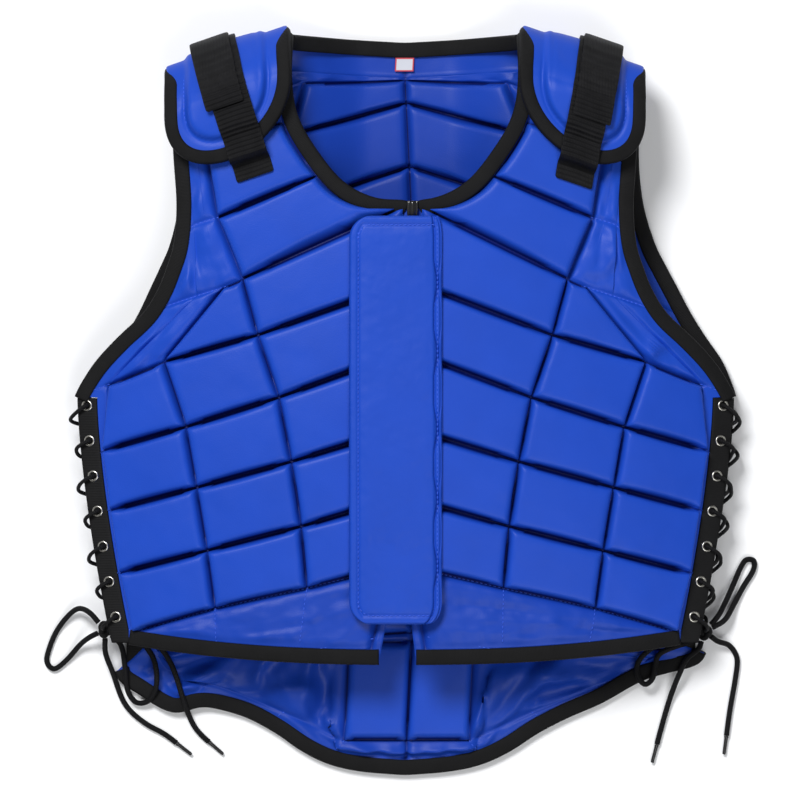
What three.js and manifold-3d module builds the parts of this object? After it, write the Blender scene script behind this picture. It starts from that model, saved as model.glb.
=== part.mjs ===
// A quilted riding body protector, laid on its back on a table with its side laces tied.
// Millimetres. X runs across the body, Y from the hem up to the neck, Z from the table up to the chest.
import * as THREE from "three";
import { mergeVertices } from "three/addons/utils/BufferGeometryUtils.js";
import Module from "manifold-3d";

// Body sizes, measured over the garment as it lies.
const chestHalf = 263; // half the width at the armpits, to the edge of the lace bands
const waistHalf = 236; // the same at the front hem
const shoulderHalf = 188; // centre line to the outer end of the shoulder
const neckHalf = 91; // centre line to the neck end of the shoulder
const neckPointUp = 291; // height of the shoulder fold at the neck
const shoulderPointUp = 258; // the same at the outer end of the shoulder
const armpitUp = 3;
const frontNeckDepth = 134; // front neckline below the neck point
const backNeckDepth = 5;
const neckDip = 22; // how far the back neck edge runs below the shoulder's fold line
const frontHemDown = 209;
const frontHemRise = 18; // how much higher the front hem is at the sides
const tailDown = 300; // lowest point of the back hem
const backCornerDown = 203; // where the back hem meets the lace band
const leftCornerSag = 14; // how far the left corner of the back hangs lower than the right
const backSideHalf = 256; // half the width of the back at the armpits
const backSlip = 9; // how far the back has slipped to the right under the front

// Build-up of the panels.
const foamThickness = 18;
const clothThickness = 3; // outer cloth, lining and seam together
const groove = 4.4; // gap between two foam blocks
const blockChamfer = 3;
const tapeThickness = 1.2; // edge binding
const tapeWidth = 10;
const seamGap = 0.3;
const tapeLift = 0.6; // gap between a binding's legs and the face under them

// How the garment lies.
const chestLift = 72; // middle of the front over the table at the centre line
const sideLift = 31; // the same at the lace bands
const foldReach = 26; // how far down a panel the shoulder fold is rounded
const skirtRest = 4.6; // middle of the unpadded back hem over the table

// Shoulder pads and straps.
const padTipDown = 82; // from the fold to the pad's front tip
const padRearDown = 80;
const padRim = 8;
const padCrown = 8; // extra thickness in the middle of the pad
const padCorner = 52; // length of the rounded end
const padPinch = 0.45; // share of the thickness lost where the pad bends over the shoulder
const strapWidth = 29;
const strapThickness = 2.4;
const strapTipDown = 104; // from the fold to the strap's end
const strapRearDown = 50;
const strapTable = [
  { side: -1, across: 146, endAcross: 118 },
  { side: 1, across: 150, endAcross: 133 },
];

// Placket, zip and label.
const placketLeft = 44; // from the centre line to the free edge
const placketRight = 29; // to the sewn edge
const placketTopUp = 147;
const placketBottomDown = 178;
const placketThickness = 6;
const placketCorner = 18;
const zipWidth = 5;
const zipEndDown = 176;
const zipMargin = 5; // plain cloth between the zip and the foam
const zipSplay = 12; // extra half opening of the front edges at the hem
const zipLean = 12; // how far the zip leans to the left on its way down
const sliderLength = 13;
const sliderWidth = 9;
const sliderHeight = 5;
const labelWidth = 15;
const labelDrop = 11;
const labelThickness = 1;

// Lace bands, eyelets and laces.
const bandWidth = 17;
const bandCorner = 4; // slanted lower corner
const eyeletCount = 7;
const eyeletTopDown = 7;
const eyeletPitch = 28.2;
const eyeletInset = 8.6; // eyelet centre to the band's edge
const eyeletOuter = 4.3;
const eyeletBore = 2.7;
const eyeletSides = 7;
const eyeletStand = 0.7; // how far the eyelet stands out of the band
const laceDiameter = 4.4;
const agletLength = 15;
const agletDiameter = 3.4;
const knotRadius = 7;

// Bow loops and tails of the laces, from the knot outward. Each list of points is chosen by hand from the photo.
const laceRoutes = [
  {
    name: "left_outer_loop",
    points: [[-254, -170, 17], [-264, -167.5, 9], [-279, -183, 2.8], [-286.5, -199.5, 2.6],
      [-288.5, -211, 2.6], [-283, -216.5, 2.6], [-273, -209.5, 2.9], [-261, -196, 8], [-253, -190, 15]],
  },
  {
    name: "left_inner_loop",
    points: [[-228.5, -196, 14], [-225, -216, 13], [-223, -234, 9.6], [-216, -243.5, 5],
      [-206.5, -242, 7], [-200, -231, 13], [-201.5, -209, 15], [-211, -195, 19], [-227, -186.5, 21]],
  },
  {
    name: "left_outer_tail",
    tip: true,
    points: [[-241, -203, 13], [-235, -219, 10], [-225.5, -245, 3.8], [-209.5, -260, 2.7], [-194, -268.5, 2.6],
      [-184, -276, 2.6]],
  },
  {
    name: "left_inner_tail",
    tip: true,
    points: [[-230, -179, 24], [-209.5, -186, 24], [-195, -200, 23], [-186, -216, 16], [-177.5, -243, 14],
      [-170, -262, 4.8], [-163, -270.5, 2.8], [-158, -275, 2.6]],
  },
  {
    name: "right_upper_loop",
    points: [[252, -173, 15], [258, -162, 10], [265, -147, 4.3], [272, -133, 2.8], [277.5, -128, 2.6],
      [278, -134, 2.6], [271.5, -149, 2.8], [265, -164, 4.5], [256, -180, 12]],
  },
  {
    name: "right_lower_loop",
    points: [[228, -184, 20], [212, -191, 24], [193, -203, 21], [186.5, -213, 15], [189, -225, 13.2],
      [196, -226, 13.2], [199, -216, 15], [204, -204, 20], [216, -198, 21], [229, -194, 17]],
  },
  {
    name: "right_inner_tail",
    tip: true,
    points: [[236, -200, 15], [227, -207, 15.5], [221.5, -218, 13.4], [214, -238, 4.2], [207, -262, 2.6],
      [203, -277, 2.6]],
  },
  {
    name: "right_outer_tail",
    tip: true,
    points: [[252, -194, 10], [261, -197, 6], [267.5, -207, 2.9], [266.5, -222, 2.6], [262, -248, 2.6],
      [259, -270, 2.6]],
  },
];
const knotPlaces = [
  { word: "left", at: [-241, -184, 20] },
  { word: "right", at: [241, -186, 17] },
];
const knotShares = [1, 1.15, 0.85]; // shape of the knot as shares of its radius

const halfFoam = foamThickness / 2;
const halfCloth = clothThickness / 2;
const tapeClear = halfCloth + tapeLift;
const tapeOut = tapeLift + tapeThickness; // how far a binding stands outside the cut edge
const rim = groove / 2 + blockChamfer; // seam line to the flat top of a block
const padUnder = halfFoam + seamGap + tapeThickness + tapeLift;
const padUnderFold = tapeClear + 2 * tapeThickness + tapeLift + 3 * seamGap;
const shoulderRise = padUnder + padRim + padCrown + strapThickness + 2 * seamGap - halfFoam;
const neckBottomUp = neckPointUp - frontNeckDepth;
const sideDrop = armpitUp + frontHemDown - frontHemRise;

const { lerp, clamp, degToRad, smoothstep } = THREE.MathUtils;
const smooth = (low, high, x) => smoothstep(x, low, high);
const shares = (count) => Array.from({ length: count + 1 }, (_, i) => i / count);

// Front neckline from the zip up to the neck point: shares of neckHalf and of frontNeckDepth.
const necklineTable = [
  { out: 0.05, up: 0 },
  { out: 0.2, up: 0.012 },
  { out: 0.33, up: 0.035 },
  { out: 0.48, up: 0.085 },
  { out: 0.62, up: 0.165 },
  { out: 0.78, up: 0.305 },
  { out: 0.92, up: 0.46 },
  { out: 0.99, up: 0.61 },
  { out: 1.01, up: 0.8 },
  { out: 1, up: 1 },
];

// Armholes from the armpit up. The front and back columns are shares of the way from shoulder to chest width.
const armholeTable = [
  { up: 0, front: 1, back: 1 },
  { up: 0.04, front: 0.93, back: 0.95 },
  { up: 0.11, front: 0.77, back: 0.84 },
  { up: 0.185, front: 0.53, back: 0.65 },
  { up: 0.26, front: 0.26, back: 0.48 },
  { up: 0.335, front: 0.1, back: 0.34 },
  { up: 0.41, front: 0, back: 0.2 },
  { up: 0.48, front: -0.07, back: 0.08 },
  { up: 0.6, front: -0.1, back: -0.04 },
  { up: 0.74, front: -0.07, back: -0.08 },
  { up: 0.88, front: -0.04, back: -0.04 },
  { up: 1, front: 0, back: 0 },
];

// Back hem from the corner to the tail's lowest point: shares of waistHalf and of the drop from corner to tail.
const backHemTable = [
  { out: 1, down: 0 },
  { out: 0.97, down: 0.09 },
  { out: 0.8, down: 0.21 },
  { out: 0.66, down: 0.4 },
  { out: 0.54, down: 0.53 },
  { out: 0.44, down: 0.66 },
  { out: 0.355, down: 0.8 },
  { out: 0.26, down: 0.91 },
  { out: 0.15, down: 0.97 },
  { out: 0, down: 1 },
];

// Quilting lines of the front, from the hem up. Out is a share of the half width there and up of frontHemDown at the
// three column seams, zipUp and borderUp are heights at the two borders, and blocks counts the blocks above the line.
const frontLines = [
  { blocks: 3, zipUp: -0.63, out: [0.321, 0.629, 0.916], up: [-0.717, -0.795, -0.888], borderUp: -0.875 },
  { blocks: 3, zipUp: -0.37, out: [0.328, 0.633, 0.925], up: [-0.48, -0.573, -0.66], borderUp: -0.66 },
  { blocks: 3, zipUp: -0.105, out: [0.349, 0.647, 0.925], up: [-0.233, -0.332, -0.42], borderUp: -0.42 },
  { blocks: 3, zipUp: 0.185, out: [0.382, 0.667, 0.928], up: [0.012, -0.101, -0.192], borderUp: -0.2 },
  { blocks: 2, zipUp: 0.45, out: [0.446, 0.731, 0.9], up: [0.25, 0.15, 0.062], borderUp: 0 },
  { blocks: 1, zipUp: 0.751, out: [0.492, 0.545, 0.63], up: [0.465, 0.434, 0.4], borderUp: 0.335 },
  { blocks: 1, zipUp: 0.875, out: [0.568, 0.605, 0.64], up: [0.698, 0.685, 0.67], borderUp: 0.61 },
  { blocks: 0, zipUp: 1.07, out: [0.61, 0.635, 0.66], up: [1.0, 0.985, 0.97], borderUp: 0.95 },
];

// Quilting lines of the back, from the hem up, after two that bound the tail blocks.
const backLines = [
  { blocks: 1, zipUp: -1.31, out: [0.214, 0.423, 0.691], up: [-1.31, -1.2, -1.08], borderUp: -0.93 },
  { blocks: 0, zipUp: -0.925, out: [0.214, 0.501, 0.847], up: [-0.925, -0.96, -0.995], borderUp: -0.91 },
  { blocks: 3, zipUp: -0.895, out: [0.334, 0.635, 0.892], up: [-0.92, -0.94, -0.965], borderUp: -0.88 },
  { blocks: 3, zipUp: -0.638, out: [0.333, 0.634, 0.885], up: [-0.7, -0.75, -0.8], borderUp: -0.79 },
  { blocks: 3, zipUp: -0.383, out: [0.344, 0.642, 0.888], up: [-0.49, -0.56, -0.63], borderUp: -0.63 },
  { blocks: 3, zipUp: -0.127, out: [0.366, 0.646, 0.89], up: [-0.255, -0.34, -0.41], borderUp: -0.41 },
  { blocks: 3, zipUp: 0.128, out: [0.39, 0.654, 0.894], up: [-0.02, -0.12, -0.19], borderUp: -0.2 },
  { blocks: 2, zipUp: 0.384, out: [0.44, 0.7, 0.86], up: [0.22, 0.13, 0.06], borderUp: 0 },
  { blocks: 2, zipUp: 0.64, out: [0.46, 0.63, 0.7], up: [0.46, 0.42, 0.39], borderUp: 0.3 },
  { blocks: 1, zipUp: 0.9, out: [0.44, 0.58, 0.63], up: [0.72, 0.69, 0.67], borderUp: 0.6 },
  { blocks: 1, zipUp: 1.145, out: [0.36, 0.5, 0.6], up: [1.02, 0.98, 0.95], borderUp: 0.85 },
  { blocks: 0, zipUp: 1.235, out: [0.31, 0.45, 0.57], up: [1.22, 1.15, 1.1], borderUp: 1.03 },
];

// Main folds of the loose cloth round the tail: place, direction in degrees, length, width and height.
// Lengths are shares of waistHalf and heights of foamThickness.
const hemFolds = [
  { out: -0.62, down: 1.06, turn: 40, long: 0.2, wide: 0.07, high: 0.34 },
  { out: -0.42, down: 1.12, turn: 105, long: 0.16, wide: 0.06, high: 0.42 },
  { out: 0.31, down: 1.14, turn: 75, long: 0.17, wide: 0.055, high: 0.36 },
  { out: 0.47, down: 1.06, turn: 35, long: 0.2, wide: 0.07, high: 0.46 },
];

// Height of the shoulder fold line. It rises towards the centre, so that the back neck edge lies low there.
function foldUp(x) {
  const out = Math.abs(x);
  if (out < neckHalf) return neckPointUp + neckDip * (1 - (out / neckHalf) ** 2);
  return lerp(neckPointUp, shoulderPointUp, (out - neckHalf) / (shoulderHalf - neckHalf));
}

// Middle of the front over the table: an arch across, a little lower towards the hem.
function frontLevel(x, y) {
  const broader = 1 + 0.3 * smooth(armpitUp, shoulderPointUp, y);
  const across = Math.min(Math.abs(x) / (chestHalf * broader), 1);
  const dip = lerp(0.88, 1, smooth(-frontHemDown, armpitUp, y));
  return sideLift + (chestLift - sideLift) * (1 - across ** 2.2) * dip;
}

// Ridges of the loose hem cloth: each is a smooth bump, long in its own direction.
function foldHeight(x, y) {
  const heights = hemFolds.map((f) => {
    const turn = degToRad(f.turn);
    const dx = x / waistHalf - f.out;
    const dy = y / backCornerDown + f.down;
    const along = (dx * Math.cos(turn) + dy * Math.sin(turn)) / f.long;
    const aside = (dy * Math.cos(turn) - dx * Math.sin(turn)) / f.wide;
    return f.high * foamThickness * Math.exp(-along * along - aside * aside);
  });
  return heights.reduce((sum, height) => sum + height);
}

// Lowest line of the padding, below which the back's cloth lies loose on the table.
function paddingEnd(x) {
  const [tail, , quilt] = backLines;
  const out = Math.abs(x) / waistHalf;
  const wide = lerp(quilt.up[0], quilt.up[2], clamp((out - quilt.out[0]) / (quilt.out[2] - quilt.out[0]), 0, 1));
  return frontHemDown * lerp(tail.zipUp, wide, smooth(tail.out[0], tail.out[0] + 0.11, out));
}

// Middle of the back over the table: flat on its foam, raised on the shoulder pads, low at the loose hem.
function backLevel(x, y) {
  const climb = smooth(shoulderPointUp - 1.5 * padRearDown, shoulderPointUp - 0.7 * padRearDown, y);
  const raised = shoulderRise * climb * smooth(0.35 * neckHalf, neckHalf, Math.abs(x));
  const loose = smooth(0, 14, paddingEnd(x) - y);
  return lerp(halfFoam + raised, skirtRest + foldHeight(x, y), loose);
}

// Sideways slip of the back under the front, none at the shoulders and the tail.
const slip = (y) => backSlip * Math.sin(Math.PI * clamp((y + tailDown) / (shoulderPointUp + tailDown), 0, 1));

// Point on a panel's middle surface with its outward normal. The face is 1 for the front and -1 for the back.
// Near the shoulder both panels bend through a quarter of an ellipse and meet at the fold line.
function drape(face, x, y) {
  const step = 0.5;
  const level = face > 0 ? frontLevel : backLevel;
  const middle = (at) => (frontLevel(at, foldUp(at) - foldReach) + backLevel(at, foldUp(at) - foldReach)) / 2;
  const rise = (atX, atY) => level(atX, atY) - middle(atX);
  const lean = clamp(1 - (foldUp(x) - y) / foldReach, 0, 1);
  const reach = Math.sqrt(1 - lean * lean);
  const slopeX = (rise(x + step, y) - rise(x - step, y)) / (2 * step);
  const slopeY = (rise(x, y + step) - rise(x, y - step)) / (2 * step);
  const middleSlope = (middle(x + step) - middle(x - step)) / (2 * step);
  const foldSlope = (foldUp(x + step) - foldUp(x - step)) / (2 * step);
  const tuck = (rise(x, y) * lean) / foldReach;
  const normal = new THREE.Vector3(
    -(middleSlope + slopeX * reach) * reach - tuck * foldSlope,
    -slopeY * reach * reach + tuck,
    reach,
  );
  if (face < 0) normal.set(-normal.x, -normal.y, -normal.z);
  normal.normalize();
  const shifted = face < 0 ? x + slip(y) : x;
  return { point: new THREE.Vector3(shifted, y, middle(x) + rise(x, y) * reach), normal };
}

// A point lifted off a panel along its outward normal.
function lifted(face, x, y, height) {
  const { point, normal } = drape(face, x, y);
  return point.addScaledVector(normal, height);
}

// A place measured over the shoulder fold: down the front is positive and down the back negative.
const overShoulder = (x, down, height) => lifted(down >= 0 ? 1 : -1, x, foldUp(x) - Math.abs(down), height);

// A box bent by a function of three shares, u across, v along and w through it.
function bent(across, along, through, place) {
  const box = new THREE.BoxGeometry(1, 1, 1, across, along, through);
  box.deleteAttribute("normal");
  box.deleteAttribute("uv");
  const geometry = mergeVertices(box, 1e-6);
  const position = geometry.attributes.position;
  for (let i = 0; i < position.count; i += 1) {
    const p = place(position.getX(i) + 0.5, position.getY(i) + 0.5, position.getZ(i) + 0.5);
    position.setXYZ(i, p.x, p.y, p.z);
  }
  return outward(geometry);
}

// Six times the volume is the sum of each face's triple product. Below zero the faces look inward and are turned.
function outward(geometry) {
  const { array } = geometry.index;
  const corner = (i) => new THREE.Vector3().fromBufferAttribute(geometry.attributes.position, array[i]);
  let volume = 0;
  for (let i = 0; i < array.length; i += 3) volume += corner(i).dot(corner(i + 1).cross(corner(i + 2)));
  if (volume > 0) return geometry;
  for (let i = 0; i < array.length; i += 3) [array[i + 1], array[i + 2]] = [array[i + 2], array[i + 1]];
  return geometry;
}

const wasm = await Module();
wasm.setup();

function solidOf(geometry) {
  const bare = geometry.clone();
  bare.deleteAttribute("normal");
  bare.deleteAttribute("uv");
  const merged = mergeVertices(bare, 1e-4);
  return new wasm.Manifold(
    new wasm.Mesh({
      numProp: 3,
      vertProperties: new Float32Array(merged.attributes.position.array),
      triVerts: new Uint32Array(merged.index.array),
    }),
  );
}

function geometryOf(solid) {
  const mesh = solid.getMesh();
  const geometry = new THREE.BufferGeometry();
  geometry.setAttribute("position", new THREE.BufferAttribute(mesh.vertProperties, 3));
  geometry.setIndex(new THREE.BufferAttribute(mesh.triVerts, 1));
  return geometry;
}

const cutAway = (geometry, cutters) =>
  geometryOf(cutters.map(solidOf).reduce((rest, cutter) => rest.subtract(cutter), solidOf(geometry)));

// Distance out of a curve that rises all the way, at a height.
function outAt(curve, height) {
  let [low, high] = [0, 1];
  for (let i = 0; i < 30; i += 1) {
    const middle = (low + high) / 2;
    if (curve.getPointAt(middle).y < height) low = middle;
    else high = middle;
  }
  return curve.getPointAt(low).x;
}

const curveOf = (rows, out, up) => new THREE.SplineCurve(rows.map((row) => new THREE.Vector2(out(row), up(row))));
const neckline = curveOf(
  necklineTable,
  (row) => row.out * neckHalf,
  (row) => neckBottomUp + row.up * frontNeckDepth,
);
const armholeUp = (row) => lerp(armpitUp, shoulderPointUp, row.up);
const armholes = {
  1: curveOf(armholeTable, (row) => lerp(shoulderHalf, chestHalf, row.front), armholeUp),
  [-1]: curveOf(armholeTable, (row) => lerp(shoulderHalf, backSideHalf, row.back), armholeUp),
};
const backHem = curveOf(
  [...backHemTable].reverse(),
  (row) => row.out * waistHalf,
  (row) => -lerp(backCornerDown, tailDown, row.down),
);

// Half width of a panel at its side edge, a smooth taper from the armpit to the waist.
function sideOut(face, y) {
  const share = clamp((armpitUp - y) / sideDrop, 0, 1);
  return (face > 0 ? chestHalf : backSideHalf) - (chestHalf - waistHalf) * share ** 1.5;
}
const frontHemUp = (x) => -frontHemDown + frontHemRise * (Math.abs(x) / waistHalf) ** 2.4;

// The back hem at a share of the way from the tail to a corner, lower at the left corner.
function backHemAt(side, share) {
  const p = backHem.getPointAt(share);
  return new THREE.Vector2(p.x, p.y - (side < 0 ? leftCornerSag * smooth(0.5, 0.95, share) : 0));
}

// The two front edges part below the end of the zip, and the zip leans to the left on its way down.
const zipLine = (y) => zipLean * (0.5 + (y - neckBottomUp) / (neckBottomUp + frontHemDown));
const zipEdge = (side, y) =>
  zipWidth / 2 + seamGap + side * zipLine(y) + (zipSplay * Math.max(-zipEndDown - y, 0)) / (frontHemDown - zipEndDown);

// Borders of a half panel at a height.
function innerBorder(face, side, y) {
  if (face < 0) return 0;
  return y < neckBottomUp + 1 ? zipEdge(side, y) : Math.max(outAt(neckline, y), zipEdge(side, y));
}
function outerBorder(face, y) {
  return y < armpitUp ? sideOut(face, y) - bandWidth : outAt(armholes[face], Math.max(y, armpitUp + 0.2));
}

// The back neckline, and above it the shoulder line.
const backNeckUp = (x) => neckPointUp - backNeckDepth * (1 - (x / neckHalf) ** 4);
const panelTop = (face, x) => (face < 0 && Math.abs(x) < neckHalf ? backNeckUp(x) : foldUp(x));

// Rows round the fold, as steps of the quarter turn. The last stays a hair short, so that front and back don't touch.
const foldAngles = [90, 62, 32, 0.7];
const foldDrops = foldAngles.map((angle) => foldReach * (1 - Math.cos(degToRad(angle))));

// Places between neighbouring seams: the seam itself, then the foot of each block's sloping side.
function cellShares(length, plain) {
  const foot = plain ? 1 / 3 : Math.min(rim / length, 0.4);
  return [0, foot, 1 - foot];
}

// One row of a half panel: two more places between each pair of seams, and the borders outside them.
function rowOf(seams, borders, blocks, plain) {
  const row = [];
  for (let c = 0; c + 1 < seams.length; c += 1) {
    const length = seams[c].distanceTo(seams[c + 1]);
    cellShares(length, plain).forEach((share, s) => {
      row.push({ plan: seams[c].clone().lerp(seams[c + 1], share), half: c < blocks && s ? halfFoam : halfCloth });
    });
  }
  const [inner, outer] = borders;
  const edge = (plan) => ({ plan, half: halfCloth });
  return [...(inner ? [edge(inner)] : []), ...row, edge(seams.at(-1)), edge(outer)];
}

// All rows of a half panel, from the hem over the quilting lines to the fold.
function halfPanel(face, side) {
  const lines = (face > 0 ? frontLines : backLines).map((line) => ({
    ...line,
    innerUp: line.zipUp * frontHemDown,
    outerUp: line.borderUp * frontHemDown + (line.borderUp === 0 ? armpitUp : 0),
    seams: line.out.map((out, i) => {
      const y = line.up[i] * frontHemDown;
      return new THREE.Vector2(out * sideOut(1, y), y);
    }),
  }));
  const rows = [hemRow(face, side, lines[0])];
  lines.forEach((low, r) => {
    const high = lines[r + 1] ?? low;
    const height = Math.abs(high.seams[0].y - low.seams[0].y);
    const steps = low.blocks ? cellShares(height, false) : [0];
    steps.forEach((share, step) => {
      const innerUp = lerp(low.innerUp, high.innerUp, share);
      const outerUp = armholeStep(lerp(low.outerUp, high.outerUp, step / 3), low, high, step);
      const inner = new THREE.Vector2(innerBorder(face, side, innerUp), innerUp);
      const outer = new THREE.Vector2(outerBorder(face, outerUp), outerUp);
      const seams = low.seams.map((seam, i) => seam.clone().lerp(high.seams[i], share));
      const first = face > 0 ? inner.clone().lerp(seams[0], margin(innerUp) / inner.distanceTo(seams[0])) : inner;
      rows.push(rowOf([first, ...seams], [face > 0 ? inner : null, outer], step ? low.blocks : 0, false));
    });
  });
  return [...rows, ...foldDrops.map((drop) => foldRow(face, lines.at(-1), drop))];
}

// Plain cloth between a front's inner border and its foam: narrow at the zip, wider under the neck binding.
const margin = (y) => (y < neckBottomUp - 1 ? zipMargin : tapeWidth + 2);

// The last row below the armpit stays just under it, where the cloth steps out over the lace band.
function armholeStep(height, low, high, step) {
  return step === 2 && low.outerUp < 0 && high.outerUp > 0 ? armpitUp - seamGap : height;
}

function hemRow(face, side, first) {
  const at = (share) => {
    if (face < 0) return backHemAt(side, share);
    const x = lerp(zipEdge(side, -frontHemDown), sideOut(1, -frontHemDown), share);
    return new THREE.Vector2(x, frontHemUp(x));
  };
  const stations = face > 0 ? [0, 0.04, 0.3, 0.6, 0.86, 0.928] : [0, 0.24, 0.48, 0.74, 1];
  const plain = face > 0 ? stations.slice(1) : stations;
  const between = plain.slice(0, 3).flatMap((share, c) => [0, 1 / 3, 2 / 3].map((step) => lerp(share, plain[c + 1], step)));
  const all = [...(face > 0 ? [stations[0]] : []), ...between, ...plain.slice(-2)];
  return all.map((share) => ({ plan: at(share), half: halfCloth }));
}

function foldRow(face, last, drop) {
  const neck = face > 0 ? outAt(neckline, neckPointUp - drop) : 0;
  const arm = outAt(armholes[face], shoulderPointUp - drop);
  const stations = face > 0 ? [0.12, 0.32, 0.57, 0.85] : [0.35, 0.7];
  const [from, first] = face > 0 ? [neck, []] : [neckHalf, [0, neckHalf]];
  const seams = [...first, ...stations.map((share) => lerp(from, arm, share))].map((x) => new THREE.Vector2(x, 0));
  const row = rowOf(seams, [face > 0 ? new THREE.Vector2(neck, 0) : null, new THREE.Vector2(arm, 0)], 0, true);
  if (face < 0) [row[1].plan.x, row[2].plan.x] = [0.44 * neckHalf, 0.84 * neckHalf];
  for (const place of row) {
    const x = place.plan.x;
    const top = x === neckHalf ? neckPointUp : panelTop(face, x);
    place.plan.y = top - drop;
  }
  return row;
}

const frontHalves = { left: halfPanel(1, -1), right: halfPanel(1, 1) };
const backHalves = { left: halfPanel(-1, -1), right: halfPanel(-1, 1) };
const armholeRow = (face) =>
  halfPanel(face, 1).findIndex((row) => row.at(-1).plan.y > armpitUp - seamGap / 2);

function frontPanel(side, rows, grown = 0) {
  const [last, top] = [rows[0].length - 1, rows.length - 1];
  return bent(last, top, 1, (u, v, w) => {
    const { plan, half } = rows[Math.round(v * top)][Math.round(u * last)];
    return lifted(1, side * plan.x, plan.y, (2 * w - 1) * (half + grown));
  });
}

function backPanel(grown = 0) {
  const { left, right } = backHalves;
  const [last, top] = [left[0].length - 1, left.length - 1];
  return bent(2 * last, top, 1, (u, v, w) => {
    const column = Math.round(u * 2 * last) - last;
    const { plan, half } = (column < 0 ? left : right)[Math.round(v * top)][Math.abs(column)];
    return lifted(-1, Math.sign(column) * plan.x, plan.y, (2 * w - 1) * (half + grown));
  });
}

// A tape folded round a cut edge, from its stations: a point on the edge, the way into the panel and the normal.
function binding(stations, clear, width) {
  const last = stations.length - 1;
  return bent(3, last, 1, (u, v, w) => {
    const { point, inward, normal } = stations[Math.round(v * last)];
    const out = tapeLift + w * tapeThickness;
    const side = clear + w * tapeThickness;
    const [into, off] = [[width, side], [-out, side], [-out, -side], [width, -side]][Math.round(u * 3)];
    return point.clone().addScaledVector(inward, into).addScaledVector(normal, off);
  });
}

// Edge stations from panel places and their neighbours one step further in. The way inward is square to the edge
// and lies in the panel's own facets, and the normal is square to both.
function stationsOf(places) {
  const frames = places.map(({ face, edge, next, side }) => ({
    ...drape(face, side * edge.x, edge.y),
    next: drape(face, side * next.x, next.y).point,
  }));
  return frames.map((frame, i) => {
    const before = frames[Math.max(i - 1, 0)].point;
    const after = frames[Math.min(i + 1, frames.length - 1)].point;
    const tangent = after.clone().sub(before).normalize();
    const inward = frame.next.clone().sub(frame.point);
    const inside = i > 0 && i + 1 < frames.length;
    if (inside) inward.addScaledVector(tangent, -inward.dot(tangent));
    inward.normalize();
    const normal = new THREE.Vector3().crossVectors(tangent, inward).normalize();
    if (normal.dot(frame.normal) < 0) normal.negate();
    return { point: frame.point, inward, normal };
  });
}

// Where a tape bends sharply its corners would touch the cloth, so it is trimmed clear of slightly thicker panels.
const trimGap = seamGap / 3;
function trimmed(tape) {
  const fronts = [frontPanel(-1, frontHalves.left, trimGap), frontPanel(1, frontHalves.right, trimGap)];
  return cutAway(tape, [...fronts, backPanel(trimGap)]);
}

const edgePlaces = (face, side, spots) => spots.map(([edge, next]) => ({ face, side, edge: edge.plan, next: next.plan }));

// The neck tape is one piece on each front, up to the fold, and one on the back between the shoulders.
function frontNeckBinding(side, word) {
  const rows = frontHalves[word];
  const start = rows.findIndex((row) => row[0].plan.y > neckBottomUp - 1);
  const spots = rows.slice(start).map((row) => [row[0], row[1]]);
  return trimmed(binding(stationsOf(edgePlaces(1, side, spots)), tapeClear, tapeWidth));
}

function backNeckBinding() {
  const flat = (rows) => rows.at(-foldAngles.length);
  const across = (rows) => rows.at(-1).slice(0, 3).map((edge, i) => [edge, flat(rows)[i]]);
  const places = [
    ...edgePlaces(-1, 1, across(backHalves.right)).reverse(),
    ...edgePlaces(-1, -1, across(backHalves.left)).slice(1),
  ];
  return trimmed(binding(stationsOf(places), tapeClear, tapeWidth));
}

function armholeBinding(side, word) {
  const front = frontHalves[word].slice(armholeRow(1)).map((row) => [row.at(-1), row.at(-2)]);
  const back = backHalves[word].slice(armholeRow(-1)).map((row) => [row.at(-1), row.at(-2)]);
  const places = [...edgePlaces(1, side, front), ...edgePlaces(-1, side, back).reverse().slice(1)];
  return trimmed(binding(stationsOf(places), tapeClear, tapeWidth));
}

const hemSpots = ([hem, above]) => hem.map((edge, i) => [edge, above[i]]);
const frontHemBinding = (side, word) =>
  trimmed(binding(stationsOf(edgePlaces(1, side, hemSpots(frontHalves[word]))), tapeClear, tapeWidth));

function backHemBinding() {
  const places = [
    ...edgePlaces(-1, -1, hemSpots(backHalves.left)).reverse(),
    ...edgePlaces(-1, 1, hemSpots(backHalves.right)).slice(1),
  ];
  return trimmed(binding(stationsOf(places), tapeClear, tapeWidth));
}

// Lace bands: a strip outside the padding, cut through for its eyelets.
const eyeletUp = (i) => armpitUp - eyeletTopDown - i * eyeletPitch;

function band(face, side, word) {
  const rows = (face > 0 ? frontHalves : backHalves)[word].slice(face > 0 ? 0 : 1, armholeRow(face));
  const last = rows.length - 1;
  const strip = bent(1, last, 1, (u, v, w) => {
    const row = Math.round(v * last);
    const inner = rows[row].at(-1).plan;
    const y = inner.y + (row === 0 ? seamGap + bandCorner * u : 0) - (row === last ? 3 * seamGap : 0);
    const corner = row === 0 ? bandCorner : 0;
    return lifted(face, side * (inner.x + seamGap + u * (bandWidth - seamGap - corner)), y, (w - 0.5) * clothThickness);
  });
  const radius = face > 0 ? eyeletOuter + seamGap : eyeletBore;
  const hole = () => new THREE.CylinderGeometry(radius, radius, clothThickness * 4, eyeletSides);
  return cutAway(strip, shares(eyeletCount - 1).map((_, i) => onBand(hole(), face, side, i)));
}

// Moves a shape made round the Y axis to an eyelet's place, square to the band.
function onBand(geometry, face, side, i) {
  const y = eyeletUp(i);
  const { point, normal } = drape(face, side * (sideOut(face, y) - eyeletInset), y);
  const turn = new THREE.Quaternion().setFromUnitVectors(new THREE.Vector3(0, 1, 0), normal);
  return geometry.applyQuaternion(turn).translate(point.x, point.y, point.z);
}

function eyelet(side, i) {
  const half = halfCloth + eyeletStand;
  const profile = [[eyeletBore, -half], [eyeletOuter, -half], [eyeletOuter, half], [eyeletBore, half], [eyeletBore, -half]];
  return onBand(new THREE.LatheGeometry(profile.map(([r, h]) => new THREE.Vector2(r, h)), eyeletSides), 1, side, i);
}

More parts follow.
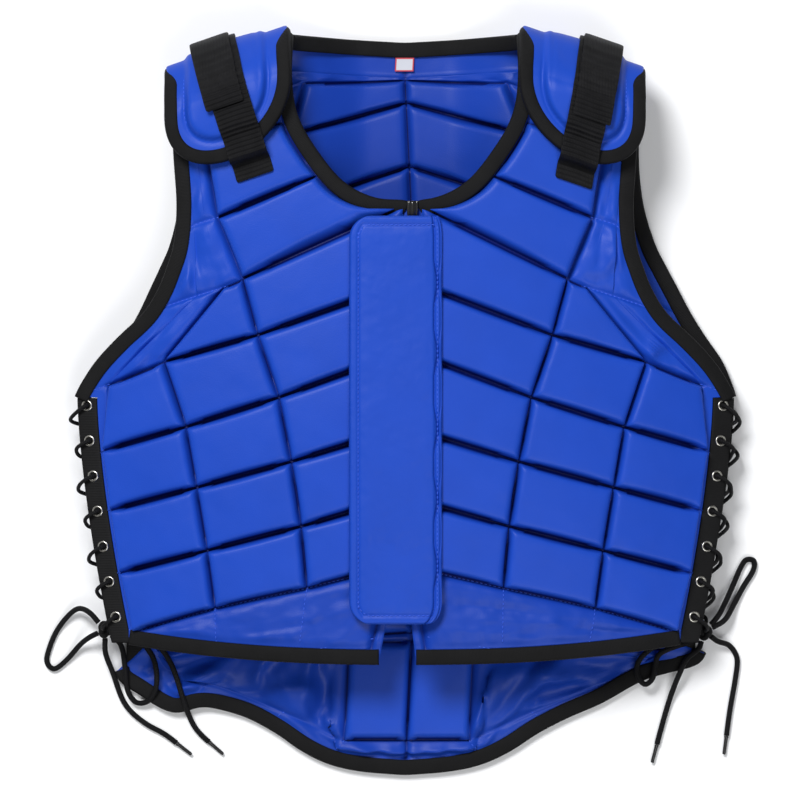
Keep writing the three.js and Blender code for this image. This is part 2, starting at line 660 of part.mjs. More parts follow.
// Shoulder pads: a tongue over the fold, round at both ends and crowned in the middle.
const padCentre = (neckHalf + shoulderHalf) / 2;
const padHalf = (shoulderHalf - neckHalf) / 2 + 1;
const padEnd = (down) => (down >= 0 ? padTipDown : padRearDown);

// Places of the pad and strap rows along one arm: round the fold, then down to the rounded end.
const padInsets = [28, 17, tapeWidth, 3, 0.4];
const armDowns = (end) => [...[...foldDrops].reverse(), ...padInsets.map((inset) => end - inset)];

// Half width of the pad at a place down the front or the back.
function padReach(down) {
  const into = clamp((Math.abs(down) - padEnd(down) + padCorner) / padCorner, 0, 1);
  return padHalf * Math.sqrt(Math.max(1 - into ** 2.3, 0));
}

// Height of the pad's underside over the panel: over the foam on the arms, close to the cloth at the fold.
const arm = (down) => smooth(foldReach * 0.2, foldReach * 1.3, Math.abs(down));
const padBase = (down) => lerp(padUnderFold, padUnder, arm(down));
const padThin = (down) => 1 - padPinch * (1 - arm(down));

// Crown over the rim, which stays flat under the binding. It is full at every place of the row but the rim.
function padSwell(down) {
  const inset = padEnd(down) - Math.abs(down);
  return padCrown * smooth(tapeWidth, 2.6 * tapeWidth, inset) * padThin(down);
}
const padTop = (down) => padBase(down) + padRim * padThin(down);

function shoulderPad(side, grown = 0) {
  const downs = [...armDowns(padTipDown).reverse(), ...armDowns(padRearDown).map((down) => -down).slice(1)];
  const last = downs.length - 1;
  return bent(5, last, 1, (u, v, w) => {
    const down = downs[Math.round(v * last)];
    const column = Math.round(u * 5) - 2.5;
    const half = Math.max(padReach(down) - tapeOut, 3);
    const flat = Math.max(half - 1.5 * tapeWidth, half * 0.5);
    const out = Math.sign(column) * { 2.5: half, 1.5: flat, 0.5: Math.max(flat - 9, flat * 0.5) }[Math.abs(column)];
    const crown = Math.abs(column) < 1 && w ? padSwell(down) : 0;
    const height = padBase(down) + w * padRim * padThin(down) + crown;
    return overShoulder(side * (padCentre + out), down, height + (2 * w - 1) * grown);
  });
}

// The pad's edge is bound from one side of the rear end round the whole pad to the other.
function padBinding(side) {
  const arm = (end, sign) => armDowns(end).slice(sign > 0 ? 0 : 1).map((down) => sign * down);
  const [fronts, rears] = [arm(padTipDown, 1), arm(padRearDown, -1)];
  const outline = (out) => (down) => new THREE.Vector2(padCentre + out * Math.max(padReach(down) - tapeOut, 3), down);
  const ring = [
    ...[...rears].reverse().map(outline(-1)),
    ...fronts.map(outline(-1)),
    ...[...fronts].reverse().map(outline(1)),
    ...rears.map(outline(1)),
  ];
  const width = tapeWidth - 2;
  const onRim = ({ x, y }) => overShoulder(side * x, y, padBase(y) + (padRim * padThin(y)) / 2);
  const stations = ring.map((place, i) => {
    const [before, after] = [ring[Math.max(i - 1, 0)], ring[Math.min(i + 1, ring.length - 1)]];
    const way = after.clone().sub(before).normalize();
    const point = onRim(place);
    const inward = onRim(new THREE.Vector2(place.x + way.y * width, place.y - way.x * width)).sub(point).normalize();
    const tangent = onRim(after).sub(onRim(before));
    const normal = new THREE.Vector3().crossVectors(inward, tangent).multiplyScalar(side).normalize();
    return { point, inward, normal, half: (padRim * padThin(place.y)) / 2 };
  });
  const last = stations.length - 1;
  const tape = bent(3, last, 1, (u, v, w) => {
    const { point, inward, normal, half } = stations[Math.round(v * last)];
    const out = tapeLift + w * tapeThickness;
    const off = half + tapeLift + w * tapeThickness;
    const [into, lift] = [[width, off], [-out, off], [-out, -off], [width, -off]][Math.round(u * 3)];
    return point.clone().addScaledVector(inward, into).addScaledVector(normal, lift);
  });
  return cutAway(tape, [shoulderPad(side, trimGap)]);
}

// Straps run over the crown of each pad and hang past its front tip onto the panel.
function strapHeight(down) {
  const past = Math.abs(down) - padEnd(down);
  const onPad = padTop(clamp(down, -padRearDown, padTipDown));
  const taped = tapeLift + tapeThickness;
  const crowned = onPad + Math.max(padSwell(down), taped) + 2 * seamGap;
  return past < 0 ? crowned : lerp(crowned, halfFoam + seamGap, smooth(2, 10, past));
}

function strap({ side, across, endAcross }) {
  const past = [2, 10, strapTipDown - padTipDown];
  const front = [...armDowns(padTipDown), ...past.map((extra) => padTipDown + extra)];
  const rear = armDowns(padRearDown).filter((down) => down < strapRearDown).map((down) => -down);
  const downs = [-strapRearDown, ...rear.slice(1).reverse(), ...front];
  const last = downs.length - 1;
  return bent(1, last, 1, (u, v, w) => {
    const down = downs[Math.round(v * last)];
    const x = lerp(across, endAcross, clamp(down / strapTipDown, 0, 1)) + (u - 0.5) * strapWidth;
    return overShoulder(side * x, down, strapHeight(down) + w * strapThickness);
  });
}

// Placket over the zip, sewn along its right edge and rounded at its free corners.
function placket() {
  const rows = [0, 0.012, 0.03, 0.055, ...shares(8).slice(1, -1), 0.945, 0.97, 0.988, 1];
  return bent(2, rows.length - 1, 1, (u, v, w) => {
    const y = lerp(-placketBottomDown, placketTopUp, rows[Math.round(v * (rows.length - 1))]);
    const end = Math.min(y + placketBottomDown, placketTopUp - y);
    const into = clamp(1 - end / placketCorner, 0, 1);
    const cut = placketCorner * (1 - Math.sqrt(1 - into * into));
    const x = lerp(cut - placketLeft, placketRight - cut * (y < 0 ? 0.6 : 0.2), u);
    return lifted(1, x, y, halfFoam + seamGap + 0.7 + w * placketThickness);
  });
}

function zip() {
  const seams = frontHalves.right.map((row) => row[0].plan.y).filter((y) => y > -zipEndDown && y < neckBottomUp - 5);
  const heights = [-zipEndDown, ...seams, neckBottomUp - 2.5];
  return bent(1, heights.length - 1, 1, (u, v, w) => {
    const y = heights[Math.round(v * (heights.length - 1))];
    return lifted(1, zipLine(y) + (u - 0.5) * zipWidth, y, (w - 0.5) * clothThickness);
  });
}

function zipSlider() {
  return bent(2, 2, 1, (u, v, w) => {
    const y = neckBottomUp - tapeOut + (v - 0.7) * sliderLength;
    const taper = 1 - 0.25 * Math.abs(v - 0.5);
    const x = zipLine(y) + (u - 0.5) * sliderWidth * taper;
    return lifted(1, x, y, tapeClear + tapeThickness + seamGap + w * sliderHeight);
  });
}

// A blank cloth label hangs from the back neck binding on the lining.
function sizeLabel() {
  const topUp = backNeckUp(0) - tapeWidth - seamGap;
  return bent(2, 2, 1, (u, v, w) => {
    const y = lerp(topUp - labelDrop, topUp, v);
    return lifted(-1, (u - 0.5) * labelWidth - slip(y) - 1, y, -halfCloth - seamGap - w * labelThickness);
  });
}

// A cord through its points, with six sides, or four for a plain one. Its cross-section turns as little as it can.
function cordAlong(points, diameter, plain) {
  const last = points.length - 1;
  let side = new THREE.Vector3(0, 0, 1);
  const frames = points.map((point, i) => {
    const tangent = points[Math.min(i + 1, last)].clone().sub(points[Math.max(i - 1, 0)]).normalize();
    if (Math.abs(side.dot(tangent)) > 0.9) side = new THREE.Vector3(0, 1, 0);
    side = side.clone().addScaledVector(tangent, -side.dot(tangent)).normalize();
    return { point, side, across: new THREE.Vector3().crossVectors(tangent, side) };
  });
  return bent(plain ? 1 : 2, last, 1, (u, v, w) => {
    const { point, side: up, across } = frames[Math.round(v * last)];
    const [x, y] = [2 * u - 1, 2 * w - 1];
    const angle = plain ? Math.atan2(y, x) : Math.atan2(x === 0 ? y : y / 2, x * Math.cos(Math.PI / 6));
    const radius = diameter / 2;
    return point.clone().addScaledVector(across, radius * Math.cos(angle)).addScaledVector(up, radius * Math.sin(angle));
  });
}

// One strand of the side lacing. It leaves an eyelet on the outer face, turns over the band's edge,
// passes behind the other band and comes out of that band's next eyelet, down to the knot.
function strand(side, startFace, knot) {
  const clear = halfCloth + eyeletStand + laceDiameter * 0.5;
  const through = (face, i, height) => {
    const y = eyeletUp(i);
    return lifted(face, side * (sideOut(face, y) - eyeletInset), y, height);
  };
  const over = (face, y, out, height) => lifted(face, side * (sideOut(face, y) + out), y, height);
  const points = [through(startFace, 0, -clear), through(startFace, 0, clear)];
  let face = startFace;
  for (let i = 0; i + 1 < eyeletCount; i += 1) {
    const at = (share) => lerp(eyeletUp(i), eyeletUp(i + 1), share);
    const turn = over(face, at(0.42), startFace > 0 ? 6 : 2.6, -2.5);
    const behind = over(-face, at(0.72), startFace > 0 ? 3.8 : -4, -4);
    points.push(over(face, at(0.22), 1.5, clear - 0.6), turn, turn.clone().lerp(behind, 0.55));
    face = -face;
    points.push(through(face, i + 1, -clear), through(face, i + 1, clear));
  }
  const end = eyeletUp(eyeletCount - 1) - (startFace > 0 ? 9 : 3);
  const turn = over(face, end, 4.5, 0);
  const stop = turn.clone().sub(knot).setLength(knotRadius + 2 * seamGap).add(knot);
  return [...points, over(face, end + 3, 1, clear - 0.4), turn, stop];
}

function lacing(side, word) {
  const knot = new THREE.Vector3(...knotPlaces.find((place) => place.word === word).at);
  return [1, -1].map((face) => cordAlong(strand(side, face, knot), laceDiameter * 0.72, true));
}

const knotShape = (at) => new THREE.SphereGeometry(knotRadius, 8, 6).scale(...knotShares).translate(...at);

// A cord's place on the knot's surface on the way to its next point, a seam's gap clear of it.
function onKnot(knot, next) {
  const centre = new THREE.Vector3(...knot.at);
  const way = next.clone().sub(centre).normalize();
  const reach = knotRadius / way.clone().divide(new THREE.Vector3(...knotShares)).length();
  return centre.addScaledVector(way, reach + seamGap);
}

// Free loops and tails. A tail ends in an aglet, a short stiff sleeve on its last stretch.
function looseLace({ name, points, tip }) {
  const knot = knotPlaces.find(({ word }) => name.startsWith(word));
  const free = points.map((p) => new THREE.Vector3(...p));
  const path = [onKnot(knot, free[0]), ...free, ...(tip ? [] : [onKnot(knot, free.at(-1))])];
  const smoothPath = new THREE.CatmullRomCurve3(path, false, "centripetal").getPoints(2 * (path.length - 1));
  const cord = cordAlong(smoothPath, laceDiameter, false);
  if (!tip) return { cord };
  const [before, end] = path.slice(-2);
  const heading = end.clone().sub(before).normalize();
  const turn = new THREE.Quaternion().setFromUnitVectors(new THREE.Vector3(0, 1, 0), heading);
  const centre = end.clone().addScaledVector(heading, agletLength / 2 + seamGap);
  const sleeve = new THREE.CylinderGeometry(agletDiameter / 2, agletDiameter / 2, agletLength, 6);
  return { cord, aglet: sleeve.applyQuaternion(turn).translate(centre.x, centre.y, centre.z) };
}

const vestCloth = { color: 0x2c4fc2, roughness: 0.55, metalness: 0 };
const trimCloth = { color: 0x1b1b1c, roughness: 0.85, metalness: 0 };
const webbing = { color: 0x19191a, roughness: 0.8, metalness: 0 };
const blackMetal = { color: 0x1c1c1e, roughness: 0.4, metalness: 0.9 };
const nickel = { color: 0xb9bab8, roughness: 0.3, metalness: 1 };
const whiteCloth = { color: 0xd9dade, roughness: 0.9, metalness: 0 };
const blackPlastic = { color: 0x161617, roughness: 0.35, metalness: 0 };

const bodyProtector = new THREE.Group();
function add(name, geometry, finish) {
  const mesh = new THREE.Mesh(geometry, new THREE.MeshStandardMaterial(finish));
  mesh.name = name;
  bodyProtector.add(mesh);
}

add("back_panel", backPanel(), vestCloth);
add("back_hem_binding", backHemBinding(), trimCloth);
add("back_neck_binding", backNeckBinding(), trimCloth);
add("zip", zip(), trimCloth);
add("zip_slider", zipSlider(), blackMetal);
add("placket", placket(), vestCloth);
add("size_label", sizeLabel(), whiteCloth);

for (const { side, word } of [{ side: -1, word: "left" }, { side: 1, word: "right" }]) {
  add(`front_panel_${word}`, frontPanel(side, frontHalves[word]), vestCloth);
  add(`front_neck_binding_${word}`, frontNeckBinding(side, word), trimCloth);
  add(`front_hem_binding_${word}`, frontHemBinding(side, word), trimCloth);
  add(`armhole_binding_${word}`, armholeBinding(side, word), trimCloth);
  add(`shoulder_pad_${word}`, shoulderPad(side), vestCloth);
  add(`shoulder_pad_binding_${word}`, padBinding(side), trimCloth);
  add(`shoulder_strap_${word}`, strap(strapTable.find((row) => row.side === side)), webbing);
  add(`front_lace_band_${word}`, band(1, side, word), trimCloth);
  add(`back_lace_band_${word}`, band(-1, side, word), trimCloth);
  for (let i = 0; i < eyeletCount; i += 1) add(`eyelet_${word}_${i + 1}`, eyelet(side, i), nickel);
  lacing(side, word).forEach((geometry, i) => add(`lacing_${word}_${i + 1}`, geometry, trimCloth));
}
for (const { word, at } of knotPlaces) add(`lace_knot_${word}`, knotShape(at), trimCloth);
for (const route of laceRoutes) {
  const { cord, aglet } = looseLace(route);
  add(`lace_${route.name}`, cord, trimCloth);
  if (aglet) add(`aglet_${route.name}`, aglet, blackPlastic);
}

export default bodyProtector;
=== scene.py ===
# A quilted riding body protector on a pale floor, seen from straight above.
# Sizes are in millimetres in the tables and become metres where a mesh is made.
import math
from types import SimpleNamespace

import bpy
import numpy as np
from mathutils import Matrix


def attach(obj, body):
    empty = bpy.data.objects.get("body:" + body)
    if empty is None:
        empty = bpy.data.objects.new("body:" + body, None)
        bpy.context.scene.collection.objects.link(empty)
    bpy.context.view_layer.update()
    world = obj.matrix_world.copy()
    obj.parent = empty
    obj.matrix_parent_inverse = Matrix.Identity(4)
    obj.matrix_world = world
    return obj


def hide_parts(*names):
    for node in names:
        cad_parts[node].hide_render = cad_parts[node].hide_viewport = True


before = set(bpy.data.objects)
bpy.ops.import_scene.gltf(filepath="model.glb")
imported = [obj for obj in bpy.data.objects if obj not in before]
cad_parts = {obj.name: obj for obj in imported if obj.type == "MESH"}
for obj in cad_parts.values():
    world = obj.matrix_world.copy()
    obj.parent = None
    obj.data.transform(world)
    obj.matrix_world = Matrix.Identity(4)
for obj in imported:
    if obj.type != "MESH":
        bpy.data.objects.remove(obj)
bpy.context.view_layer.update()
scene = bpy.context.scene

# Camera, floor and light come first.
studio = {
    "middle": (-4.0, 0.4),  # what the middle of the picture looks at
    "width": 640.0,  # what the picture shows across, at the height of the chest's sides
    "level": 45.0,
    "distance": 6000.0,
    "floorColour": "#F4F5F7",
    "skyStrength": 0.2,
    # Place in metres, size in metres, power: a key from the top left and a broad fill from below right.
    "lights": {"keyLight": ((-0.9, 1.6, 2.8), 1.2, 107.0), "fillLight": ((0.7, -1.6, 2.9), 2.0, 107.0 * 0.42)},
}

# Heights are up from the middle of the outline, halves are out from the middle line.
body = {
    "chestHalf": 263.0, "waistHalf": 236.0, "shoulderHalf": 188.0, "neckHalf": 91.0,
    "neckPointUp": 291.0, "shoulderPointUp": 258.0, "armpitUp": 3.0,
    "frontNeckDepth": 134.0, "backNeckDepth": 5.0, "neckDip": 22.0,
    "frontHemDown": 209.0, "frontHemRise": 18.0, "tailDown": 300.0, "backCornerDown": 203.0,
    "leftCornerSag": 14.0, "backSideHalf": 256.0, "backSlip": 9.0,
    "chestLift": 72.0, "sideLift": 31.0, "foldReach": 26.0, "skirtRest": 4.6,
    "halfFoam": 9.0, "halfCloth": 1.5, "bandWidth": 17.0, "padRearDown": 80.0,
}
vest = SimpleNamespace(**body)
neckBottomUp = vest.neckPointUp - vest.frontNeckDepth

# Shares of neckHalf and frontNeckDepth, from the zip up to the neck point.
necklineTable = [(0.05, 0), (0.2, 0.012), (0.33, 0.035), (0.48, 0.085), (0.62, 0.165), (0.78, 0.305),
                 (0.92, 0.46), (0.99, 0.61), (1.01, 0.8), (1, 1)]
# Height share, then the shares from shoulder to chest width on the front and on the back.
armholeTable = [(0, 1, 1), (0.04, 0.93, 0.95), (0.11, 0.77, 0.84), (0.185, 0.53, 0.65), (0.26, 0.26, 0.48),
                (0.335, 0.1, 0.34), (0.41, 0, 0.2), (0.48, -0.07, 0.08), (0.6, -0.1, -0.04),
                (0.74, -0.07, -0.08), (0.88, -0.04, -0.04), (1, 0, 0)]
# Shares of waistHalf and of the drop from the side corner to the tail.
backHemTable = [(1, 0), (0.97, 0.09), (0.8, 0.21), (0.66, 0.4), (0.54, 0.53), (0.44, 0.66), (0.355, 0.8),
                (0.26, 0.91), (0.15, 0.97), (0, 1)]
# Quilting lines from the hem up: blocks above the line, height at the middle, the three column seams as shares
# of the half width there and of frontHemDown, and the height at the side.
frontLines = [
    (3, -0.63, (0.321, 0.629, 0.916), (-0.717, -0.795, -0.888), -0.875),
    (3, -0.37, (0.328, 0.633, 0.925), (-0.48, -0.573, -0.66), -0.66),
    (3, -0.105, (0.349, 0.647, 0.925), (-0.233, -0.332, -0.42), -0.42),
    (3, 0.185, (0.382, 0.667, 0.928), (0.012, -0.101, -0.192), -0.2),
    (2, 0.45, (0.446, 0.731, 0.9), (0.25, 0.15, 0.062), 0),
    (1, 0.751, (0.492, 0.545, 0.63), (0.465, 0.434, 0.4), 0.335),
    (1, 0.875, (0.568, 0.605, 0.64), (0.698, 0.685, 0.67), 0.61),
    (0, 1.07, (0.61, 0.635, 0.66), (1.0, 0.985, 0.97), 0.95),
]
backLines = [
    (1, -1.31, (0.214, 0.423, 0.691), (-1.31, -1.2, -1.08), -0.93),
    (0, -0.925, (0.214, 0.501, 0.847), (-0.925, -0.96, -0.995), -0.91),
    (3, -0.895, (0.334, 0.635, 0.892), (-0.92, -0.94, -0.965), -0.88),
    (3, -0.638, (0.333, 0.634, 0.885), (-0.7, -0.75, -0.8), -0.79),
    (3, -0.383, (0.344, 0.642, 0.888), (-0.49, -0.56, -0.63), -0.63),
    (3, -0.127, (0.366, 0.646, 0.89), (-0.255, -0.34, -0.41), -0.41),
    (3, 0.128, (0.39, 0.654, 0.894), (-0.02, -0.12, -0.19), -0.2),
    (2, 0.384, (0.44, 0.7, 0.86), (0.22, 0.13, 0.06), 0),
    (2, 0.64, (0.46, 0.63, 0.7), (0.46, 0.42, 0.39), 0.3),
    (1, 0.9, (0.44, 0.58, 0.63), (0.72, 0.69, 0.67), 0.6),
    (1, 1.145, (0.36, 0.5, 0.6), (1.02, 0.98, 0.95), 0.85),
    (0, 1.235, (0.31, 0.45, 0.57), (1.22, 1.15, 1.1), 1.03),
]
# Broad folds round the tail: out, down, turn in degrees, length, width, height, all as shares.
hemFolds = [(-0.62, 1.06, 40, 0.2, 0.07, 0.34), (-0.42, 1.12, 105, 0.16, 0.06, 0.42),
            (0.31, 1.14, 75, 0.17, 0.055, 0.36), (0.47, 1.06, 35, 0.2, 0.07, 0.46)]

quilt = {
    "rowGap": (0.7, 1.9),  # half the gap between two rows of blocks at its ends, and what the middle adds
    "columnGap": (0.45, 0.45),  # the same between two columns
    "edgeRound": 1.9,  # radius of a block's edge
    "floor": 0.8,  # half the cloth's thickness where it is sewn down between blocks
    "sink": 3.6,  # how far the seams are drawn in below the middle of the foam
    "crown": 0.7,  # how much a block rises in the middle
    "tilt": 0.9,  # how far blocks lean against each other
    "pinch": 1.9,  # how deep a stitched line sinks in the loose cloth
    "pucker": 0.28,  # how much the cloth wrinkles beside a seam
    "wander": 0.15,  # how uneven the foam is
}

# Loose folds of the cloth: place, direction in degrees, length, width, height. Read from the picture.
frontFolds = [
    (-178, 190, 62, 26, 5, 1.8), (-170, 168, 70, 30, 6, -1.6), (-184, 160, 55, 22, 4, 1.6),
    (-176, 140, 65, 26, 5, 1.4),
    (-168, 118, 100, 26, 7, -2.2), (-150, 78, 95, 26, 7, -2.2), (-172, 96, 20, 24, 8, 1.0),
    (-160, 60, 30, 24, 7, 1.0),
    (-206, 36, 48, 34, 6, 1.6), (-222, 20, 30, 30, 5, -1.4), (-196, 52, 60, 26, 5, -1.4), (-230, 8, 60, 24, 5, 1.5),
    (-214, 46, 15, 24, 4, 1.2),
    (172, 176, 80, 40, 8, 1.6), (160, 150, 78, 34, 6, -2.2), (168, 118, 60, 24, 9, 1.4), (176, 104, 10, 18, 6, -1.0),
    (166, 78, -45, 40, 7, -1.8), (188, 44, -48, 36, 6, 1.2), (197, 40, 58, 13, 3.4, 2.4), (191, 33, 40, 7, 3, -2.0),
    (206, 46, 20, 14, 4, 1.4), (222, 24, -35, 30, 6, 1.0),
    (-150, -192, 8, 62, 5, 1.5), (-110, -184, 12, 60, 5, -1.3), (-60, -172, 10, 50, 6, 1.2),
    (-196, -182, 14, 40, 4, -1.2),
    (-62, -196, 6, 30, 5, 1.1), (-206, -190, 10, 26, 4, 1.3),
    (70, -166, -7, 44, 5, -1.1), (110, -178, -6, 52, 6, 1.3), (160, -184, -8, 46, 5, -1.2),
    (206, -182, -5, 30, 4, 1.2),
    (56, -184, -4, 34, 6, 1.0), (190, -176, -4, 30, 3.5, 0.9),
]
tailFolds = [
    (-170, -226, 32, 34, 7, 3.4), (-134, -206, 42, 22, 5, -2.4), (-128, -202, -38, 14, 4, 2.6),
    (-112, -205, 46, 14, 4, 2.6),
    (-186, -202, 10, 30, 5, 2.2), (-206, -206, 60, 22, 5, -2.0), (-160, -244, 20, 40, 8, -2.0),
    (-96, -236, 12, 34, 8, 1.6),
    (-86, -224, 84, 40, 8, 3.0), (-68, -244, 80, 36, 7, -2.6), (-62, -262, -58, 22, 4, 3.4),
    (-48, -273, -20, 18, 3.6, 3.2),
    (-26, -279, -3, 34, 3.4, 2.6), (-30, -287, 0, 40, 3.4, -1.6), (-100, -262, -26, 40, 7, 1.8),
    (-120, -212, 75, 26, 6, 2.2),
    (-78, -206, 62, 16, 4, 2.4), (-60, -212, 100, 26, 5, 1.8),
    (58, -250, 72, 36, 5, 2.8), (66, -272, 66, 26, 4, 3.0), (82, -238, 58, 34, 6, -2.6), (102, -226, 44, 34, 7, 3.0),
    (124, -232, 14, 28, 6, -3.0), (122, -222, -8, 26, 5, 3.0), (146, -240, 24, 34, 6, 1.8),
    (150, -214, -12, 34, 6, -1.8),
    (30, -279, 3, 36, 3.4, 2.6), (36, -288, 6, 40, 3.4, -1.6), (66, -288, 22, 30, 3.4, 2.2),
    (190, -208, 16, 30, 5, 1.6),
    (92, -262, 40, 34, 6, 1.8), (206, -206, 40, 22, 4, -1.4),
    (-40, 280, 30, 18, 4, 1.2), (-56, 276, 25, 22, 4, -1.2), (46, 278, -28, 22, 5, 1.0),
]


def lerp(a, b, t):
    return a + (b - a) * t


def smooth(low, high, x):
    t = np.clip((x - low) / (high - low), 0, 1)
    return t * t * (3 - 2 * t)


def linearColour(hexColour):
    # An sRGB value v is linear ((v + 0.055) / 1.055) ** 2.4, or v / 12.92 in the dark.
    parts = [int(hexColour[i:i + 2], 16) / 255 for i in (1, 3, 5)]
    return tuple(v / 12.92 if v <= 0.04045 else ((v + 0.055) / 1.055) ** 2.4 for v in parts) + (1.0,)


def splineOf(points):
    # Uniform Catmull-Rom through the points, 60 steps a span, with its length shares.
    p = np.array(points, float)
    p = np.vstack([p[:1], p, p[-1:]])
    t = np.linspace(0, 1, 61)[:, None]
    spans = []
    for a, b, c, d in zip(p[:-3], p[1:-2], p[2:-1], p[3:]):
        v0, v1 = (c - a) / 2, (d - b) / 2
        spans.append((2 * b - 2 * c + v0 + v1) * t ** 3 + (3 * c - 3 * b - 2 * v0 - v1) * t ** 2 + v0 * t + b)
    line = np.vstack([spans[0]] + [s[1:] for s in spans[1:]])
    steps = np.linalg.norm(np.diff(line, axis=0), axis=1)
    return line, np.concatenate([[0], np.cumsum(steps)]) / steps.sum()


neckline, _ = splineOf([(o * vest.neckHalf, neckBottomUp + u * vest.frontNeckDepth) for o, u in necklineTable])
armholes = {
    face: splineOf([(lerp(vest.shoulderHalf, width, row[column]), lerp(vest.armpitUp, vest.shoulderPointUp, row[0]))
                    for row in armholeTable])[0]
    for face, width, column in ((1, vest.chestHalf, 1), (-1, vest.backSideHalf, 2))
}
backHem, backHemShares = splineOf([(o * vest.waistHalf, -lerp(vest.backCornerDown, vest.tailDown, d))
                                   for o, d in reversed(backHemTable)])


def outAt(curve, height):
    return np.interp(height, curve[:, 1], curve[:, 0])


def foldUp(x):
    # Height of the shoulder's fold line, raised towards the centre.
    out = np.abs(x)
    inside = vest.neckPointUp + vest.neckDip * (1 - (out / vest.neckHalf) ** 2)
    share = (out - vest.neckHalf) / (vest.shoulderHalf - vest.neckHalf)
    outside = lerp(vest.neckPointUp, vest.shoulderPointUp, share)
    return np.where(out < vest.neckHalf, inside, outside)


def frontLevel(x, y):
    # An arch across: 1 - |x / half| ** 2.2, a little lower towards the hem.
    broader = 1 + 0.3 * smooth(vest.armpitUp, vest.shoulderPointUp, y)
    across = np.minimum(np.abs(x) / (vest.chestHalf * broader), 1)
    dip = lerp(0.88, 1, smooth(-vest.frontHemDown, vest.armpitUp, y))
    return vest.sideLift + (vest.chestLift - vest.sideLift) * (1 - across ** 2.2) * dip


def foldHeight(x, y):
    # Sum of bumps exp(-along^2 - aside^2), each long in its own direction.
    total = np.zeros(np.shape(x + y))
    for out, down, turn, long, wide, high in hemFolds:
        dx, dy = x / vest.waistHalf - out, y / vest.backCornerDown + down
        c, s = math.cos(math.radians(turn)), math.sin(math.radians(turn))
        total += high * 2 * vest.halfFoam * np.exp(-((dx * c + dy * s) / long) ** 2 - ((dy * c - dx * s) / wide) ** 2)
    return total


def paddingEnd(x):
    # Height at which the back's foam ends and the loose tail begins.
    tail, block = backLines[0], backLines[2]
    out = np.abs(x) / vest.waistHalf
    wide = lerp(block[3][0], block[3][2], np.clip((out - block[2][0]) / (block[2][2] - block[2][0]), 0, 1))
    return vest.frontHemDown * lerp(tail[1], wide, smooth(tail[2][0], tail[2][0] + 0.11, out))


shoulderRise = 21.1  # what the pads and straps under the back add to its height


def backLevel(x, y):
    # The back rests on the table, raised where the pads and straps lie under it, and loose in the tail.
    climb = smooth(vest.shoulderPointUp - 1.5 * vest.padRearDown, vest.shoulderPointUp - 0.7 * vest.padRearDown, y)
    raised = shoulderRise * climb * smooth(0.35 * vest.neckHalf, vest.neckHalf, np.abs(x))
    loose = smooth(0, 14, paddingEnd(x) - y)
    return lerp(vest.halfFoam + raised, vest.skirtRest + foldHeight(x, y), loose)


def drape(face, x, y):
    # Middle surface and outward normal of a panel; near the shoulder it bends through a quarter of an ellipse.
    level = frontLevel if face > 0 else backLevel
    middle = lambda at: (frontLevel(at, foldUp(at) - vest.foldReach) + backLevel(at, foldUp(at) - vest.foldReach)) / 2
    rise = lambda atX, atY: level(atX, atY) - middle(atX)
    lean = np.clip(1 - (foldUp(x) - y) / vest.foldReach, 0, 1)
    reach = np.sqrt(1 - lean * lean)
    slopeX = rise(x + 0.5, y) - rise(x - 0.5, y)
    slopeY = rise(x, y + 0.5) - rise(x, y - 0.5)
    tuck = rise(x, y) * lean / vest.foldReach
    foldSlope = foldUp(x + 0.5) - foldUp(x - 0.5)
    normal = np.stack([-(middle(x + 0.5) - middle(x - 0.5) + slopeX * reach) * reach - tuck * foldSlope,
                       -slopeY * reach * reach + tuck, reach + 0 * tuck], -1) * face
    normal /= np.linalg.norm(normal, axis=-1, keepdims=True)
    slip = 0 if face > 0 else vest.backSlip * np.sin(np.pi * np.clip(
        (y + vest.tailDown) / (vest.shoulderPointUp + vest.tailDown), 0, 1))
    return np.stack([x + slip, y + 0 * x, middle(x) + rise(x, y) * reach], -1), normal


def lifted(face, x, y, height):
    point, normal = drape(face, x, y)
    return point + normal * np.asarray(height)[..., None]


def overShoulder(x, down, height):
    # A place measured over the fold: down the front is positive, down the back negative.
    y = foldUp(x) - np.abs(down)
    front, back = lifted(1, x, y, height), lifted(-1, x, y, height)
    return np.where((down >= 0)[..., None], front, back)


def ripples(x, y, seed, wave, count=14):
    # Sum of sines with seeded directions, each bent by the last one, from -1 to 1.
    chance = np.random.default_rng(seed)
    total, bend = 0, 0
    for angle, phase in zip(chance.uniform(0, np.pi, count), chance.uniform(0, 2 * np.pi, count)):
        length = wave * chance.uniform(0.7, 1.5)
        bend = np.sin(2 * np.pi * (x * np.cos(angle) + y * np.sin(angle)) / length + phase + 0.9 * bend)
        total = total + bend
    return total / math.sqrt(count) / 1.4


def foldsAt(table, x, y):
    # Ridges with a sharp top: high * exp(-along^2) * exp(-|aside| ** 1.6).
    total = np.zeros(np.shape(x))
    for atX, atY, turn, long, wide, high in table:
        c, s = math.cos(math.radians(turn)), math.sin(math.radians(turn))
        dx, dy = x - atX, y - atY
        along, aside = (dx * c + dy * s) / long, (dy * c - dx * s) / wide
        aside = aside + 0.35 * along ** 2
        total += high * np.exp(-along ** 2 - np.abs(aside) ** 1.6)
    return total


# Mesh and material helpers.
def gridFaces(rows, columns, start=0, closed=False):
    # Quads of a grid of points; closed joins the last column to the first.
    r = np.arange(rows - 1)[:, None]
    c = np.arange(columns - (0 if closed else 1))[None]
    n = (c + 1) % columns
    here, above = r * columns, (r + 1) * columns
    return np.stack([here + c, here + n, above + n, above + c], -1).reshape(-1, 4) + start


